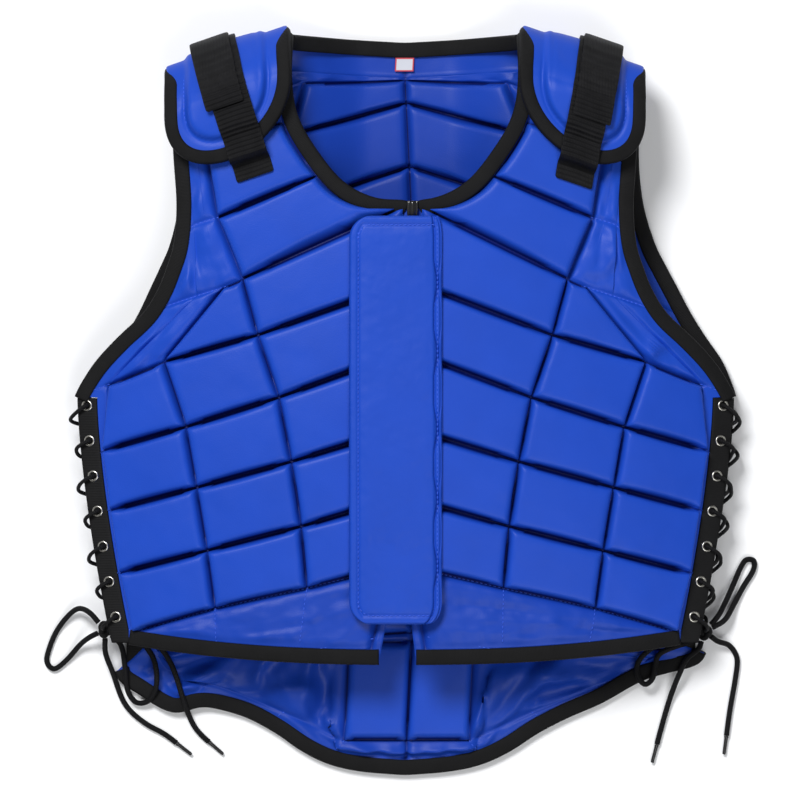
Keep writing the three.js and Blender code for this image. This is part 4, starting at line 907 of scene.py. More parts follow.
def paintedChannelShade(grid, rise):
    # Painted shade for the cloth's colour: how far the cloth lies down in a channel between blocks, where the blocks
    # cast shade. The loose cloth below the blocks, on the skirt and the tail, gets painted shade that grows lower
    # down. Inside the neck, painted shade stands for the shadow that both halves cast on the back, and it is darker
    # at the left.
    skirtShade = 0.22 * smooth(110, 160, -grid.y)
    neckShade = 0.34 * smooth(110, 170, grid.y) * lerp(1, 0.6, smooth(-20, 100, grid.x)) if grid.face < 0 else 0
    down = np.where(grid.isBlock, (1 - rise) ** 2.5,
                    np.maximum(skirtShade, 0.7 * np.exp(-(grid.besideBlock / 2.2) ** 2)))
    return np.maximum(neckShade, down * smooth(6, 12, grid.border))


def halfPanel(face, side, density):
    # Points and normals of both faces of half a panel.
    grid = panelGrid(face, side, density)
    measureCells(grid)
    rise, block = blockShape(grid)
    half = np.where(grid.isBlock, block, vest.halfCloth)[..., None]
    point, normal = drape(face, grid.x, grid.y)
    middle = point + normal * (clothWave(grid) * face)[..., None]
    outer = middle + normal * half
    outer[..., 2] = np.maximum(outer[..., 2], 0)  # the table presses the lowest blocks flat
    return {"outer": outer, "inner": middle - normal * half, "middle": point, "normal": normal,
            "line": grid.line, "rowShare": grid.rowShare, "strip": grid.strip, "face": face, "side": side,
            "x": grid.x, "y": grid.y, "paintedShade": paintedChannelShade(grid, rise)}


def storePaintedShade(panel, paintedShade):
    # Stores the painted shade as a point attribute. Both faces of a panel are laid out alike, so each point of the
    # grid gives its value twice.
    values = panel.data.attributes.new("paintedShade", "FLOAT", "POINT")
    values.data.foreach_set("value", np.concatenate([paintedShade.ravel(), paintedShade.ravel()]))


# Grid steps between seams: rows below, in and above the blocks, then columns.
frontDensity = {"hem": 32, "block": 24, "top": 26, "margin": 4, "across": 32, "side": 34}
backDensity = {"hem": 44, "block": 18, "top": 22, "margin": 4, "across": 24, "side": 32}
fronts = {word: halfPanel(1, side, frontDensity) for word, side in (("left", -1), ("right", 1))}
backs = {word: halfPanel(-1, side, backDensity) for word, side in (("left", -1), ("right", 1))}
for word, half in fronts.items():
    panel = makeShell("quilted_front_" + word, half["outer"], half["inner"], cloth,
                      ["front_panel_" + word])
    storePaintedShade(panel, half["paintedShade"])


def mirroredJoin(left, right):
    # One grid from the far left border over the middle line to the far right border.
    return np.concatenate([left[:, :0:-1], right], 1)


panel = makeShell("quilted_back", mirroredJoin(backs["left"]["outer"], backs["right"]["outer"]),
                  mirroredJoin(backs["left"]["inner"], backs["right"]["inner"]), cloth, ["back_panel"])
storePaintedShade(panel, mirroredJoin(backs["left"]["paintedShade"], backs["right"]["paintedShade"]))
print("quilted panels are made")


# Edge tapes.
tapeSizes = {"width": 10.5, "stand": 1.9, "side": 3.3, "puff": 0.35, "thick": 1.2}


def tapeProfile(side=tapeSizes["side"], width=tapeSizes["width"]):
    # A U of cloth round the edge: over the top, round the edge and back below, then the inside of the same U.
    # The half thickness may be one value or a column with one for each station.
    side = np.asarray(side, float)
    t = np.linspace(0, 1, 9)
    top = side + tapeSizes["puff"] * np.sin(np.pi * t) - 0.5 * (1 - t) ** 6
    turn = np.linspace(0.5, -0.5, 9)[1:-1] * np.pi
    nose = side * np.sin(turn)
    thin = side - tapeSizes["thick"]
    inside = thin * np.array([-1, -1, 0, 1, 1]) + np.array([0.3, 0, 0, 0, -0.3])
    outs = np.concatenate([width * (1 - t), -tapeSizes["stand"] * np.cos(turn), (width * (1 - t))[::-1],
                           [width, 0, -0.5, 0, width]])
    ups = np.concatenate([top, nose, -top[..., ::-1], inside], -1)
    return np.stack([np.broadcast_to(outs, ups.shape), ups], -1)


def edgeFrames(edge, inner, normal):
    # Unit vectors square to the edge: inward along the cloth, and up out of it.
    tangent = np.gradient(edge, axis=0)
    tangent /= np.linalg.norm(tangent, axis=1, keepdims=True)
    inward = inner - edge
    inward = inward - tangent * np.einsum("ij,ij->i", inward, tangent)[:, None]
    inward /= np.linalg.norm(inward, axis=1, keepdims=True)
    up = np.cross(tangent, inward)
    up *= np.sign(np.einsum("ij,ij->i", up, normal))[:, None]
    return inward, up / np.linalg.norm(up, axis=1, keepdims=True)


def evened(*arrays, step=2.2):
    # The same path with equal steps, and whatever else is carried along it.
    path = arrays[0]
    keep = np.concatenate([[True], np.linalg.norm(np.diff(path, axis=0), axis=1) > 0.02])
    arrays = [a[keep] for a in arrays]
    along = np.concatenate([[0], np.cumsum(np.linalg.norm(np.diff(arrays[0], axis=0), axis=1))])
    at = np.linspace(0, along[-1], max(int(along[-1] / step), 4) + 1)
    return [np.stack([np.interp(at, along, a[:, i]) for i in range(a.shape[1])], -1) for a in arrays]


def softened(a, times=6):
    for _ in range(times):
        a = np.vstack([a[:1], (a[:-2] + 2 * a[1:-1] + a[2:]) / 4, a[-1:]])
    return a


def edgeTapePiece(name, spots, nodes):
    edge, inner, normal = (np.vstack([spot[i] for spot in spots]) for i in range(3))
    edge, inner, normal = evened(edge, inner, normal)
    edge, inner, normal = softened(edge, 5), softened(inner, 30), softened(normal, 30)
    inward, up = edgeFrames(edge, inner, normal)
    inward, up = softened(inward, 8), softened(up, 8)
    points, faces, uvs = sweep(edge, inward, up, tapeProfile())
    makePiece(name, points, faces, tape, nodes, uvs)


def borderOf(half, rows, column, inward):
    return half["middle"][rows, column], half["middle"][rows, inward], half["normal"][rows, column] * half["face"]


def rowsAbove(half, height, column):
    return np.flatnonzero(half["y"][:, column] > height)


for word in ("left", "right"):
    front, back = fronts[word], backs[word]
    rows = rowsAbove(front, neckBottomUp - 1, 0)
    edgeTapePiece("neck_tape_" + word, [borderOf(front, rows, 0, 3)], ["front_neck_binding_" + word])
    hem = [front["middle"][0], front["middle"][6], front["normal"][0]]
    edgeTapePiece("front_hem_tape_" + word, [hem], ["front_hem_binding_" + word])
    frontRows, backRows = rowsAbove(front, vest.armpitUp - 0.2, -1), rowsAbove(back, vest.armpitUp - 0.2, -1)[::-1]
    edgeTapePiece("armhole_tape_" + word, [borderOf(front, frontRows, -1, -5), borderOf(back, backRows[1:], -1, -5)],
                  ["armhole_binding_" + word])

left, right = backs["left"], backs["right"]
hem = [np.concatenate([left[key][0, ::-1], right[key][0, 1:]]) for key in ("middle", "normal")]
above = np.concatenate([left["middle"][7, ::-1], right["middle"][7, 1:]])
edgeTapePiece("back_hem_tape", [[hem[0], above, hem[1] * -1]], ["back_hem_binding"])
neckCount = backDensity["across"] + 1
top = [np.concatenate([left[key][-1, neckCount - 1::-1], right[key][-1, 1:neckCount]])
       for key in ("middle", "normal")]
below = np.concatenate([left["middle"][-14, neckCount - 1::-1], right["middle"][-14, 1:neckCount]])
edgeTapePiece("back_neck_tape", [[top[0], below, top[1] * -1]], ["back_neck_binding"])
print("edge tapes are sewn on")

# Sewn threads, each stitch a short six-sided spindle.
stitch = {"pitch": 3.6, "length": 2.3, "radius": 0.42}


def drawnStitches(name, runs):
    # Each stitch is a small six sided capsule along its seam; the thread between two stitches is under the cloth.
    centres, ways, ups = [], [], []
    for path, normal in runs:
        path, normal = evened(path, normal, step=stitch["pitch"])
        way = np.gradient(path, axis=0)
        centres.append(path)
        ways.append(way / np.linalg.norm(way, axis=1, keepdims=True))
        ups.append(normal / np.linalg.norm(normal, axis=1, keepdims=True))
    centre, way, up = (np.concatenate(a) for a in (centres, ways, ups))
    across = np.cross(way, up)
    across /= np.linalg.norm(across, axis=1, keepdims=True)
    up = np.cross(across, way)
    t = np.array([-1, -0.7, 0.7, 1])[:, None]
    angle = np.arange(6) * np.pi / 3
    wide = stitch["radius"] * np.array([0.25, 1, 1, 0.25])[:, None]
    a, b, c = t * stitch["length"] / 2 + 0 * angle, wide * np.cos(angle), wide * np.sin(angle)
    points = (centre[:, None, None] + a[..., None] * way[:, None, None] + b[..., None] * across[:, None, None]
              + c[..., None] * up[:, None, None])
    starts = np.arange(len(centre))[:, None, None] * 24
    quads = (gridFaces(4, 6, closed=True)[None] + starts).reshape(-1, 4)
    caps = (np.array([[5, 4, 3, 2, 1, 0], [18, 19, 20, 21, 22, 23]])[None] + starts).reshape(-1, 6)
    makePiece(name, points, [quads, caps], thread)


def plainRuns(half, lift):
    # Stretches of the stitched lines with plain cloth on both sides, and the seams down the hem.
    lines = frontLines if half["face"] > 0 else backLines
    first = 1 if half["face"] > 0 else 0
    column = half["strip"] - first
    surface = half["outer"] + half["normal"] * lift
    runs = []
    for r in range(1, len(lines)):
        row = int(np.flatnonzero((half["line"] == r) & (half["rowShare"] == 0))[0])
        keep = np.flatnonzero((column >= max(lines[r][0], lines[r - 1][0])) & (column >= (1 if lines[r][0] else 0)))
        keep = keep[half["y"][row, keep] < foldUp(half["x"][row, keep]) - vest.foldReach]
        if len(keep) > 8:
            keep = keep[1:-10] if half["face"] > 0 else keep[1:-6]
            runs.append((surface[row, keep], half["normal"][row, keep]))
    row = int(np.flatnonzero(half["line"] == 0)[0])
    if half["face"] > 0:
        keep = np.flatnonzero(column >= 0)[:-10]
        runs.append((surface[row, keep], half["normal"][row, keep]))
    for seam in (1, 2):
        at = int(np.flatnonzero(column == seam)[0])
        rows = np.arange(9 if half["face"] > 0 else 7, row)
        runs.append((surface[rows, at], half["normal"][rows, at]))
    return runs


for word in ("left", "right"):
    front = fronts[word]
    side = front["side"]
    # A short line beside the zip, above the front hem.
    out, up = np.linspace(19, 74, 24), np.linspace(-188.5, -199, 24)
    point, normal = drape(1, side * out, up)
    runs = plainRuns(front, 0.15) + [(point + normal * (vest.halfCloth + 0.3), normal)]
    drawnStitches("front_stitches_" + word, runs)
    inside = dict(backs[word], outer=backs[word]["inner"])
    drawnStitches("tail_stitches_" + word, [(path, -normal) for path, normal in plainRuns(inside, -0.15)[-2:]])
print("sewn threads are drawn")

# Shoulder pads, a tongue over the fold.
pad = {
    "centre": (vest.neckHalf + vest.shoulderHalf) / 2, "half": (vest.shoulderHalf - vest.neckHalf) / 2 + 1,
    "tip": 82.0, "rear": 80.0, "corner": 52.0, "rim": 8.0, "crown": 8.0, "pinch": 0.45,
    "underFold": 6.0, "under": 11.1, "stitchInset": 16.8, "tapeWidth": 9.2, "lipShift": 1.8,
}


def arm(down):
    return smooth(vest.foldReach * 0.2, vest.foldReach * 1.3, np.abs(down))


def padBase(down):
    return lerp(pad["underFold"], pad["under"], arm(down))


def padThin(down):
    return 1 - pad["pinch"] * (1 - arm(down))


def padEnd(down):
    return np.where(down >= 0, pad["tip"], pad["rear"])


def padGrid():
    # Rows from the rear end over the fold to the tip. Round the ends the rows follow equal turns of the outline.
    turn = np.linspace(np.pi / 2 - 0.02, 0, 30)
    rear = -(pad["rear"] - pad["corner"] + pad["corner"] * np.sin(turn) ** (2 / 2.3))
    tip = pad["tip"] - pad["corner"] + pad["corner"] * np.sin(turn[::-1]) ** (2 / 2.3)
    middle = np.linspace(rear[-1], tip[0], 70)[1:-1]
    down = np.concatenate([rear, middle, tip])
    reach = pad["half"] * np.concatenate([np.cos(turn), np.ones(len(middle)), np.cos(turn[::-1])])
    return down, reach


def makePad(side, word):
    down, reach = padGrid()
    reach = reach - 1.2
    share = np.sin(np.linspace(-np.pi / 2, np.pi / 2, 90) * 0.94) / math.sin(np.pi / 2 * 0.94)
    x = pad["centre"] + reach[:, None] * share[None]
    d = np.broadcast_to(down[:, None], x.shape)
    rim = np.concatenate([np.stack([pad["centre"] + reach, down], -1),
                          np.stack([pad["centre"] - reach, down], -1)[::-1]])
    # Distance to the nearest stretch of the rim, each point against all stretches at once.
    way = np.roll(rim, -1, 0) - rim
    fromX, fromD = x[..., None] - rim[:, 0], d[..., None] - rim[:, 1]
    t = np.clip((fromX * way[:, 0] + fromD * way[:, 1]) / np.maximum((way ** 2).sum(1), 1e-9), 0, 1)
    inset = np.hypot(fromX - t * way[:, 0], fromD - t * way[:, 1]).min(-1)
    # The flat lip is wider on the neck side.
    lip = inset + pad["lipShift"] * share[None]
    swell = pad["crown"] * (0.72 * smooth(15.0, 21.0, lip) + 0.28 * smooth(20, 46, lip))
    # A stitched line round the crown, a crease on the neck side and soft creases from the strap.
    dent = 1.3 * np.exp(-((lip - pad["stitchInset"] + 1) / 1.6) ** 2) * smooth(3, 26, np.abs(d))
    fromCrease = x - (pad["centre"] - 26 - 0.05 * d)
    neckSide = 2.2 * np.exp(-(fromCrease / 3.0) ** 2) * smooth(17, 26, lip) * smooth(-30, 6, d)
    ease = 0.4 * ripples(side * x, d, 31 + side, 26) * smooth(12, 22, inset)
    thin = padThin(d)
    top = padBase(d) + (pad["rim"] + swell - dent - neckSide + ease) * thin
    bottom = padBase(d) + 0 * x
    soft = (1 - np.clip(1 - inset / 2.6, 0, 1) ** 2.2) ** 0.5
    middle = padBase(d) + pad["rim"] / 2 * thin
    top, bottom = lerp(middle, top, lerp(0.35, 1, soft)), lerp(middle, bottom, lerp(0.35, 1, soft))
    piece = makeShell("padded_shoulder_" + word, overShoulder(side * x, d, top), overShoulder(side * x, d, bottom),
                      cloth, ["shoulder_pad_" + word])
    # Stitches lie in the dent, where the crown starts.
    runs = []
    for sign in (1, -1):
        ownInset = pad["stitchInset"] - 1.0 - pad["lipShift"] * sign
        walk = np.clip(reach - ownInset, 0, None)
        keep = (walk > 0.5) & (down > -pad["corner"])
        at, place = down[keep], pad["centre"] + sign * walk[keep]
        turnAt = pad["tip"] - pad["corner"]
        squeeze = (pad["corner"] - pad["stitchInset"]) / (at.max() - turnAt)
        at = np.where(at > turnAt, turnAt + (at - turnAt) * squeeze, at)
        height = padBase(at) + (pad["rim"] - 0.9) * padThin(at)
        path = overShoulder(side * place, at, height)
        up = overShoulder(side * place, at, height + 1) - path
        runs.append((path, up))
    drawnStitches("pad_stitches_" + word, runs)
    edge = np.vstack([rim, rim[:1]])
    edge = evened(edge, edge, step=1.6)[0]
    way = np.gradient(edge, axis=0)
    way /= np.linalg.norm(way, axis=1, keepdims=True)
    inner = edge + np.stack([-way[:, 1], way[:, 0]], -1) * 6

    def onRim(p, above=0):
        return overShoulder(side * p[:, 0], p[:, 1], padBase(p[:, 1]) + pad["rim"] / 2 * padThin(p[:, 1]) + above)

    path, inside, up = onRim(edge), onRim(inner), onRim(edge, 1) - onRim(edge)
    path, inside, up = softened(path, 3), softened(inside, 14), softened(up, 14)
    inward, up = edgeFrames(path, inside, up)
    inward, up = softened(inward, 5), softened(up, 5)
    halfThick = (pad["rim"] / 2 * padThin(edge[:, 1]) + 1.0)[:, None]
    points, faces, uvs = sweep(path, inward, up, tapeProfile(halfThick, pad["tapeWidth"]))
    makePiece("shoulder_tape_" + word, points, faces, tape, ["shoulder_pad_binding_" + word], uvs)


# Straps, ribbed across.
strapSizes = {"wide": 29.0, "thick": 2.4, "tipDown": 104.0, "rearDown": 50.0, "ribPitch": 3.7, "ribHigh": 1.0,
              "corner": 2.2, "upperStart": -20.0, "upperLift": 2.8}
# How far out each strap's middle lies at the fold and at its tip; where its upper layer's step is, and its shift.
strapPaths = {"left": (146.0, 118.0), "right": (150.0, 133.0)}
strapSteps = {"left": (41, 4.6), "right": (50, 3.0)}


def strapHeight(down):
    past = np.abs(down) - padEnd(down)
    clipped = np.clip(down, -pad["rear"], pad["tip"])
    inset = padEnd(clipped) - np.abs(clipped)
    top = padBase(clipped) + pad["rim"] * padThin(clipped)
    swell = np.maximum(pad["crown"] * smooth(10, 26, inset) * padThin(clipped), 2.4) + 0.6
    return np.where(past < 0, top + swell, lerp(top + swell, vest.halfFoam + 1.0, smooth(2, 10, past)))


def makeStrap(name, side, ends, start, stop, shift, lift, nodes):
    down = np.arange(start, stop + 0.01, 0.42)
    u = np.sin(np.linspace(-1, 1, 25) * np.pi / 2)
    # The cut end has small round corners, and the strap is a little wider where it lies doubled over the fold.
    corner = strapSizes["corner"]
    cut = corner * (1 - np.sqrt(1 - np.clip((down - stop + corner) / corner, 0, 1) ** 2))
    wide = strapSizes["wide"] / 2 * (1 + 0.05 * (1 - smooth(5, 30, down))) - cut
    centre = lerp(ends[0], ends[1], np.clip(down / strapSizes["tipDown"], 0, 1)) + shift
    x = centre[:, None] + u[None] * wide[:, None]
    # Ribs: (1 - |cos|) is a row of round ridges with sharp valleys, which fade where the layer is pressed.
    along = down[:, None] + 0.25 * np.sin(x / 5)
    ribs = 1 - np.abs(np.cos(np.pi * along / strapSizes["ribPitch"])) ** 1.4
    strength = (0.3 + 0.7 * smooth(8, 26, down) * (1 - 0.5 * smooth(78, 100, down)))[:, None]
    rounded = (1 - np.abs(u) ** 10)[None] ** 0.5
    height = strapHeight(down)[:, None] + lift
    ridges = strapSizes["ribHigh"] * (ribs - 0.7) * strength * rounded
    top = height + strapSizes["thick"] * lerp(0.6, 1, rounded) + ridges
    bottom = height + strapSizes["thick"] * lerp(0.4, 0, rounded)
    wobble = side * (x + 0.25 * np.sin(down / 17)[:, None])
    d = np.broadcast_to(down[:, None], x.shape)
    makeShell(name, overShoulder(wobble, d, top), overShoulder(wobble, d, bottom), webbing, nodes)


for side, word in ((-1, "left"), (1, "right")):
    makePad(side, word)
    makeStrap("ribbed_strap_" + word, side, strapPaths[word], -strapSizes["rearDown"], strapSizes["tipDown"], 0, 0,
              ["shoulder_strap_" + word])
# Each strap is doubled as far as its sewn step, and the upper layer lies a little further out.
for side, word in ((-1, "left"), (1, "right")):
    step, shift = strapSteps[word]
    makeStrap("doubled_strap_" + word, side, strapPaths[word], strapSizes["upperStart"], step, shift,
              strapSizes["upperLift"], [])
print("shoulder pads and straps are made")

# Placket, zip, slider and label.
placket = {"left": 44.0, "right": 29.0, "top": 147.0, "bottom": -178.0, "thick": 6.0, "corner": 18.0, "stand": 10.0,
           "stitchInset": 7.2, "seamInset": 3.6}


def placketPlace(u, y):
    end = np.minimum(y - placket["bottom"], placket["top"] - y)
    into = np.clip(1 - end / placket["corner"], 0, 1)
    cut = placket["corner"] * (1 - np.sqrt(1 - into ** 2))
    return lerp(cut - placket["left"], placket["right"] - cut * np.where(y < 0, 0.6, 0.2), u)


def makePlacket():
    t = np.linspace(0, np.pi / 2, 26)
    ends = placket["corner"] * (1 - np.cos(t))
    straight = np.linspace(placket["bottom"] + placket["corner"], placket["top"] - placket["corner"], 240)[1:-1]
    y = np.concatenate([placket["bottom"] + 0.03 + ends, straight, (placket["top"] - 0.03 - ends)[::-1]])[:, None]
    u = lerp(np.linspace(0, 1, 90), (1 - np.cos(np.pi * np.linspace(0, 1, 90))) / 2, 0.6)[None]
    x = placketPlace(u, y)
    endGap = np.minimum(y - placket["bottom"], placket["top"] - y)
    leftGap, rightGap = x - placketPlace(0 * u, y), placketPlace(0 * u + 1, y) - x
    edge = np.minimum(np.minimum(leftGap, endGap), rightGap)
    rise = (1 - (1 - np.clip(edge / 2.6, 0, 1)) ** 2.4) ** 0.5
    lineGap = np.minimum(np.minimum(leftGap, endGap), rightGap + 2)
    dent = 0.9 * np.exp(-((lineGap - placket["stitchInset"]) / 1.3) ** 2)
    puff = 0.5 * smooth(7, 16, lineGap)
    # The right edge is sewn down: lens shaped puckers lie between the quilting lines.
    rows = np.array([line[1] for line in frontLines[:7]]) * vest.frontHemDown
    near = np.abs(y - rows[None]).min(1)[:, None]
    lens = 1 - smooth(2, 20, near)
    sewn = 1 - smooth(3.5, 6.5, rightGap)
    gape = 1 - 0.85 * lens
    # Three grooves beside each other: outside the seam, inside it, and the thread's own.
    seam = (2.8 * np.exp(-((rightGap - 2.9 - 3.0 * gape) / 0.75) ** 2)
            + 1.7 * np.exp(-((rightGap - 2.9 + 1.9 * gape) / 0.55) ** 2)
            + 0.5 * np.exp(-((rightGap - placket["seamInset"]) / 0.4) ** 2))
    wander = 0.3 * ripples(x, y + 0 * x, 41, 60) + 0.1 * ripples(x, y + 0 * x, 43, 14)
    top = placket["stand"] + (placket["thick"] + puff - dent - seam + wander - 1.6 * sewn) * lerp(0.25, 1, rise)
    bottom = placket["stand"] + 0.75 * placket["thick"] * (1 - rise) * 0.6 + 0 * x
    piece = makeShell("zip_cover", lifted(1, x, y + 0 * x, top), lifted(1, x, y + 0 * x, bottom), cloth,
                      ["placket"])
    sewPlacket()


def sewPlacket():
    # A run of stitches from the bottom right round the left side to the top, and one down the right edge.
    def onCover(xs, ys):
        point, normal = drape(1, xs, ys)
        return point + normal * (placket["stand"] + placket["thick"] - 0.3), normal

    inset, corner = placket["stitchInset"], placket["corner"]
    left, low, high = -placket["left"], placket["bottom"], placket["top"]
    ys = np.linspace(low + inset + 7, high - inset - 7, 60)
    bend = np.linspace(0, np.pi / 2, 9)
    turnX, turnY = left + corner - (corner - inset) * np.sin(bend), (corner - inset) * np.cos(bend)
    runX = np.concatenate([np.linspace(18, -24, 20), turnX, left + inset + 0 * ys, turnX[::-1],
                           np.linspace(-24, 22, 20)])
    runY = np.concatenate([low + inset + np.zeros(20), low + corner - turnY, ys, (high - corner + turnY)[::-1],
                           high - inset + np.zeros(20)])
    rightY = np.linspace(low + 14, high - 6, 80)
    sewnPath, sewnUp = onCover(placket["right"] - placket["seamInset"] + 0 * rightY, rightY)
    drawnStitches("placket_stitches", [onCover(runX, runY), (sewnPath - 1.9 * sewnUp, sewnUp)])


makePlacket()
zipSizes = {"wide": 5.0, "thick": 3.0, "end": -176.0, "top": 154.5, "toothPitch": 2.4}


def makeZip():
    # A moulded coil on its tape, drawn as one strip with a ridge for each tooth.
    y = np.arange(zipSizes["end"], zipSizes["top"], zipSizes["toothPitch"] / 6)[:, None]
    u = np.sin(np.linspace(-1, 1, 13) * np.pi / 2)[None]
    teeth = np.abs(np.sin(np.pi * y / zipSizes["toothPitch"] + 0.6 * np.sign(u)))
    rounded = (1 - np.abs(u) ** 6) ** 0.5
    x = zipLine(y) + u * zipSizes["wide"] / 2
    top = (zipSizes["thick"] / 2 + 0.35 * teeth) * lerp(0.5, 1, rounded)
    bottom = -zipSizes["thick"] / 2 * lerp(0.5, 1, rounded)
    makeShell("zip_strip", lifted(1, x, y + 0 * x, top), lifted(1, x, y + 0 * x, bottom), coil, ["zip"])


def roundedBlock(u, v, place, low, high, cut=0.3):
    rounded = ((1 - np.abs(u) ** 6) * (1 - np.abs(v) ** 6)) ** 0.5
    middle = (low + high) / 2
    return place(lerp(middle, high, lerp(cut, 1, rounded))), place(lerp(middle, low, lerp(cut, 1, rounded)))


slider = {"long": 13.0, "half": 4.5, "low": 3.6, "high": 7.2, "below": 1.8, "bridge": 1.4, "slot": 0.8}


def makeSlider():
    u, v = np.meshgrid(np.sin(np.linspace(-1, 1, 17) * np.pi / 2), np.sin(np.linspace(-1, 1, 19) * np.pi / 2))
    y = neckBottomUp - slider["below"] + (v * 0.5 - 0.2) * slider["long"]
    x = zipLine(y) + u * slider["half"] * (1 - 0.25 * np.abs(v) / 2)
    # A bridge along the middle, with a slot on each side of it.
    bridge = slider["bridge"] * np.exp(-(u / 0.35) ** 2)
    slots = slider["slot"] * np.exp(-((np.abs(u) - 0.7) / 0.16) ** 2)
    high = slider["high"] + (bridge - slots)
    top, bottom = roundedBlock(u, v, lambda h: lifted(1, x, y, h), slider["low"], high)
    makeShell("zip_slider_body", top, bottom, enamel, ["zip_slider"])


labelSizes = {"half": 7.5, "tall": 11.0, "belowEdge": 10.3, "borderFrom": (0.86, 0.8)}


def makeLabel():
    u, v = np.meshgrid(np.linspace(-1, 1, 41), np.linspace(0, 1, 31))
    topUp = vest.neckPointUp - vest.backNeckDepth - labelSizes["belowEdge"]
    y = lerp(topUp - labelSizes["tall"], topUp, v)
    # The back lies slipped to one side, by half a sine wave from the tail to the shoulder.
    slip = vest.backSlip * np.sin(np.pi * (y + vest.tailDown) / (vest.shoulderPointUp + vest.tailDown))
    x = u * labelSizes["half"] - slip - 1
    curl = 0.35 * np.sin(1.6 * u + 0.5) * (1 - v) + 0.25 * (1 - v) ** 2
    height = lambda h: lifted(-1, x, y, -vest.halfCloth - 0.5 - h - curl)
    piece = makeShell("blank_label", height(0.9 + 0 * u), height(0 * u), labelSatin, ["size_label"])
    # Each corner's UV is its place on the label from -1 to 1, from which the material draws the woven border.
    mesh = piece.data
    layer = mesh.uv_layers.new(name="surface")
    vertex = np.zeros(len(mesh.loops), dtype=np.int32)
    mesh.loops.foreach_get("vertex_index", vertex)
    flat = np.stack([np.tile(u.ravel(), 2), np.tile(v.ravel() * 2 - 1, 2)], -1)
    layer.data.foreach_set("uv", flat[vertex].ravel())


# Woven satin tag: pale and a little shiny, with a red border woven in.
def labelCloth():
    material, tree, shader = newMaterial("wovenSatinLabel", {"Roughness": 0.5, "Specular IOR Level": 0.35})
    uv = addNode(tree, "UVMap", {"uv_map": "surface"}, {}).outputs[0]
    parts = addNode(tree, "SeparateXYZ", {}, {0: uv})
    far = [addNode(tree, "Math", {"operation": "ABSOLUTE"}, {0: parts.outputs[i]}).outputs[0] for i in (0, 1)]
    edges = [addNode(tree, "Math", {"operation": "GREATER_THAN"}, {0: f, 1: limit}).outputs[0]
             for f, limit in zip(far, labelSizes["borderFrom"])]
    edge = addNode(tree, "Math", {"operation": "MAXIMUM"}, {0: edges[0], 1: edges[1]})
    mixed = addNode(tree, "Mix", {"data_type": "RGBA"}, {"Factor": edge.outputs[0]})
    mixed.inputs[6].default_value = linearColour("#B9BCC6")
    mixed.inputs[7].default_value = linearColour("#B03A44")
    tree.links.new(mixed.outputs[2], shader.inputs["Base Color"])
    return material


labelSatin = labelCloth()
makeZip()
makeSlider()
makeLabel()
print("placket, zip, slider and label are made")

# Lace bands, eyelets and lacing.
laceBand = {"wide": 16.7, "thick": 3.0, "inset": 8.6, "first": -4.0, "pitch": 28.2, "count": 7,
            "lowFront": -194.0, "lowBack": {"left": -214.0, "right": -202.0}}


def eyeletUp(i):
    return laceBand["first"] - laceBand["pitch"] * i


def makeBand(face, side, word):
    low = laceBand["lowFront"] if face > 0 else laceBand["lowBack"][word]
    y = np.linspace(low, vest.armpitUp - 1, 110)
    middle = sideOut(face, y) - vest.bandWidth + 0.3 + laceBand["wide"] / 2
    origin, up = drape(face, side * middle, y)
    outer = drape(face, side * (middle + 1), y)[0]
    across = outer - origin
    across /= np.linalg.norm(across, axis=1, keepdims=True)
    angle = np.linspace(0, 2 * np.pi, 36, endpoint=False)
    # A superellipse: each coordinate is |cos| or |sin| to a power, with its sign.
    squared = lambda a, power: np.sign(a) * np.abs(a) ** power
    profile = np.stack([laceBand["wide"] / 2 * squared(np.cos(angle), 0.3),
                        laceBand["thick"] / 2 * squared(np.sin(angle), 0.55)], -1)
    taper = np.ones((len(y), 1, 1)) - 0.12 * np.exp(-((y - low) / 3)[:, None, None])
    points, faces, uvs = sweep(origin, across, up, profile[None] * taper)
    name = ("front" if face > 0 else "back") + "_lace_band_" + word
    makePiece("sewn_" + name, points, faces, bandTape, [name], uvs)


def makeEyelets(side, word):
    # A rolled rim on both faces of the band, turned round the hole.
    # Each pair is a distance from the hole's middle and a height over the middle of the band.
    profile = np.array([(2.6, 0), (2.6, 1.6), (2.8, 2.2), (3.3, 2.55), (3.9, 2.5), (4.4, 2.15), (4.6, 1.6),
                        (4.1, 1.45), (4.1, -1.45), (4.6, -1.6), (4.4, -2.15), (3.9, -2.5), (3.3, -2.55),
                        (2.8, -2.2), (2.6, -1.6)])
    y = eyeletUp(np.arange(laceBand["count"]))
    centre, normal = drape(1, side * (sideOut(1, y) - laceBand["inset"]), y)
    across = np.cross(normal, (0.0, 1.0, 0.0))
    across /= np.linalg.norm(across, axis=1, keepdims=True)
    other = np.cross(normal, across)
    angle = np.linspace(0, 2 * np.pi, 32, endpoint=False)
    radial = np.cos(angle)[None, :, None] * across[:, None] + np.sin(angle)[None, :, None] * other[:, None]
    points = (centre[:, None, None] + radial[:, :, None] * profile[:, 0][None, None, :, None]
              + normal[:, None, None] * profile[:, 1][None, None, :, None])
    n, m = len(angle), len(profile)
    i, j = np.meshgrid(np.arange(n), np.arange(m), indexing="ij")
    after, beside = (i + 1) % n * m, (j + 1) % m
    quads = np.stack([i * m + j, after + j, after + beside, i * m + beside], -1).reshape(-1, 4)
    quads = (quads[None] + (np.arange(len(y)) * n * m)[:, None, None]).reshape(-1, 4)
    makePiece("rolled_eyelets_" + word, points, [quads], nickel,
              ["eyelet_%s_%d" % (word, k + 1) for k in range(laceBand["count"])])


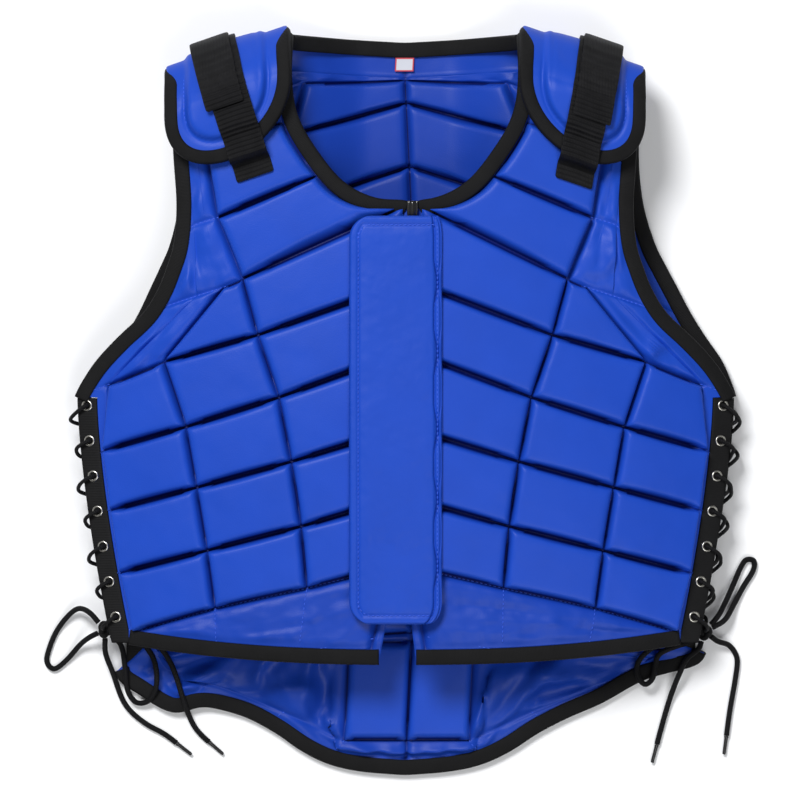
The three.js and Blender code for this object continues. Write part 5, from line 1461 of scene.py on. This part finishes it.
def lacingStrand(side, startFace, knot):
    # Through each eyelet, round the band's edge and behind the other band to its next eyelet; clear keeps the
    # lace's middle outside the cloth.
    clear = vest.halfCloth + 0.7 + laceSizes["diameter"] / 2

    def over(face, y, out, height):
        return lifted(face, side * (sideOut(face, y) + out), np.array(y), np.array(height))

    def through(face, i, height):
        return over(face, eyeletUp(i), -laceBand["inset"], height)

    face, path = startFace, [through(startFace, 0, -clear), through(startFace, 0, clear)]
    for i in range(laceBand["count"] - 1):
        at = lambda s: lerp(eyeletUp(i), eyeletUp(i + 1), s)
        turn = over(face, at(0.42), 6 if startFace > 0 else 2.6, -2.5)
        behind = over(-face, at(0.72), 3.8 if startFace > 0 else -4, -4)
        path += [over(face, at(0.22), 1.5, clear - 0.6), turn, lerp(turn, behind, 0.55)]
        face = -face
        path += [through(face, i + 1, -clear), through(face, i + 1, clear)]
    end = eyeletUp(laceBand["count"] - 1) - (9 if startFace > 0 else 3)
    turn = over(face, end, 4.5, 0)
    share = 1 - (laceSizes["knotRadius"] - 1.5) / np.linalg.norm(knot - turn)
    path += [over(face, end + 3, 1, clear - 0.4), turn, lerp(turn, knot, share)]
    return smoothRoute(path, 8)


# The bands are the edge tape's weave, doubled and pressed, so a little smoother.
def bandCloth():
    material, tree, shader = newMaterial("doubledPolyesterBand", {"Roughness": 0.6, "Specular IOR Level": 0.1})
    place = addNode(tree, "TexCoord", {}, {}).outputs["Object"]
    tinted(tree, shader, place, "#161617", 60.0, 0.12)
    rib = addNode(tree, "TexWave", {"bands_direction": "Y"}, {"Vector": place, "Scale": 240.0, "Distortion": 0.5})
    bumped(tree, shader, rib.outputs["Fac"], 0.00018, 0.7)
    return material


bandTape = bandCloth()
for side, word in ((-1, "left"), (1, "right")):
    for face in (1, -1):
        makeBand(face, side, word)
    makeEyelets(side, word)
    for number, startFace in ((1, 1), (2, -1)):
        path = lacingStrand(side, startFace, np.array(knotPlaces[word], float))
        points, faces, uvs = cordTube(path, laceSizes["diameter"] * 0.72, 10)
        makePiece("side_lacing_%s_%d" % (word, number), points, faces, lace,
                  ["lacing_%s_%d" % (word, number)], uvs)
print("lace bands, eyelets and lacing are made")
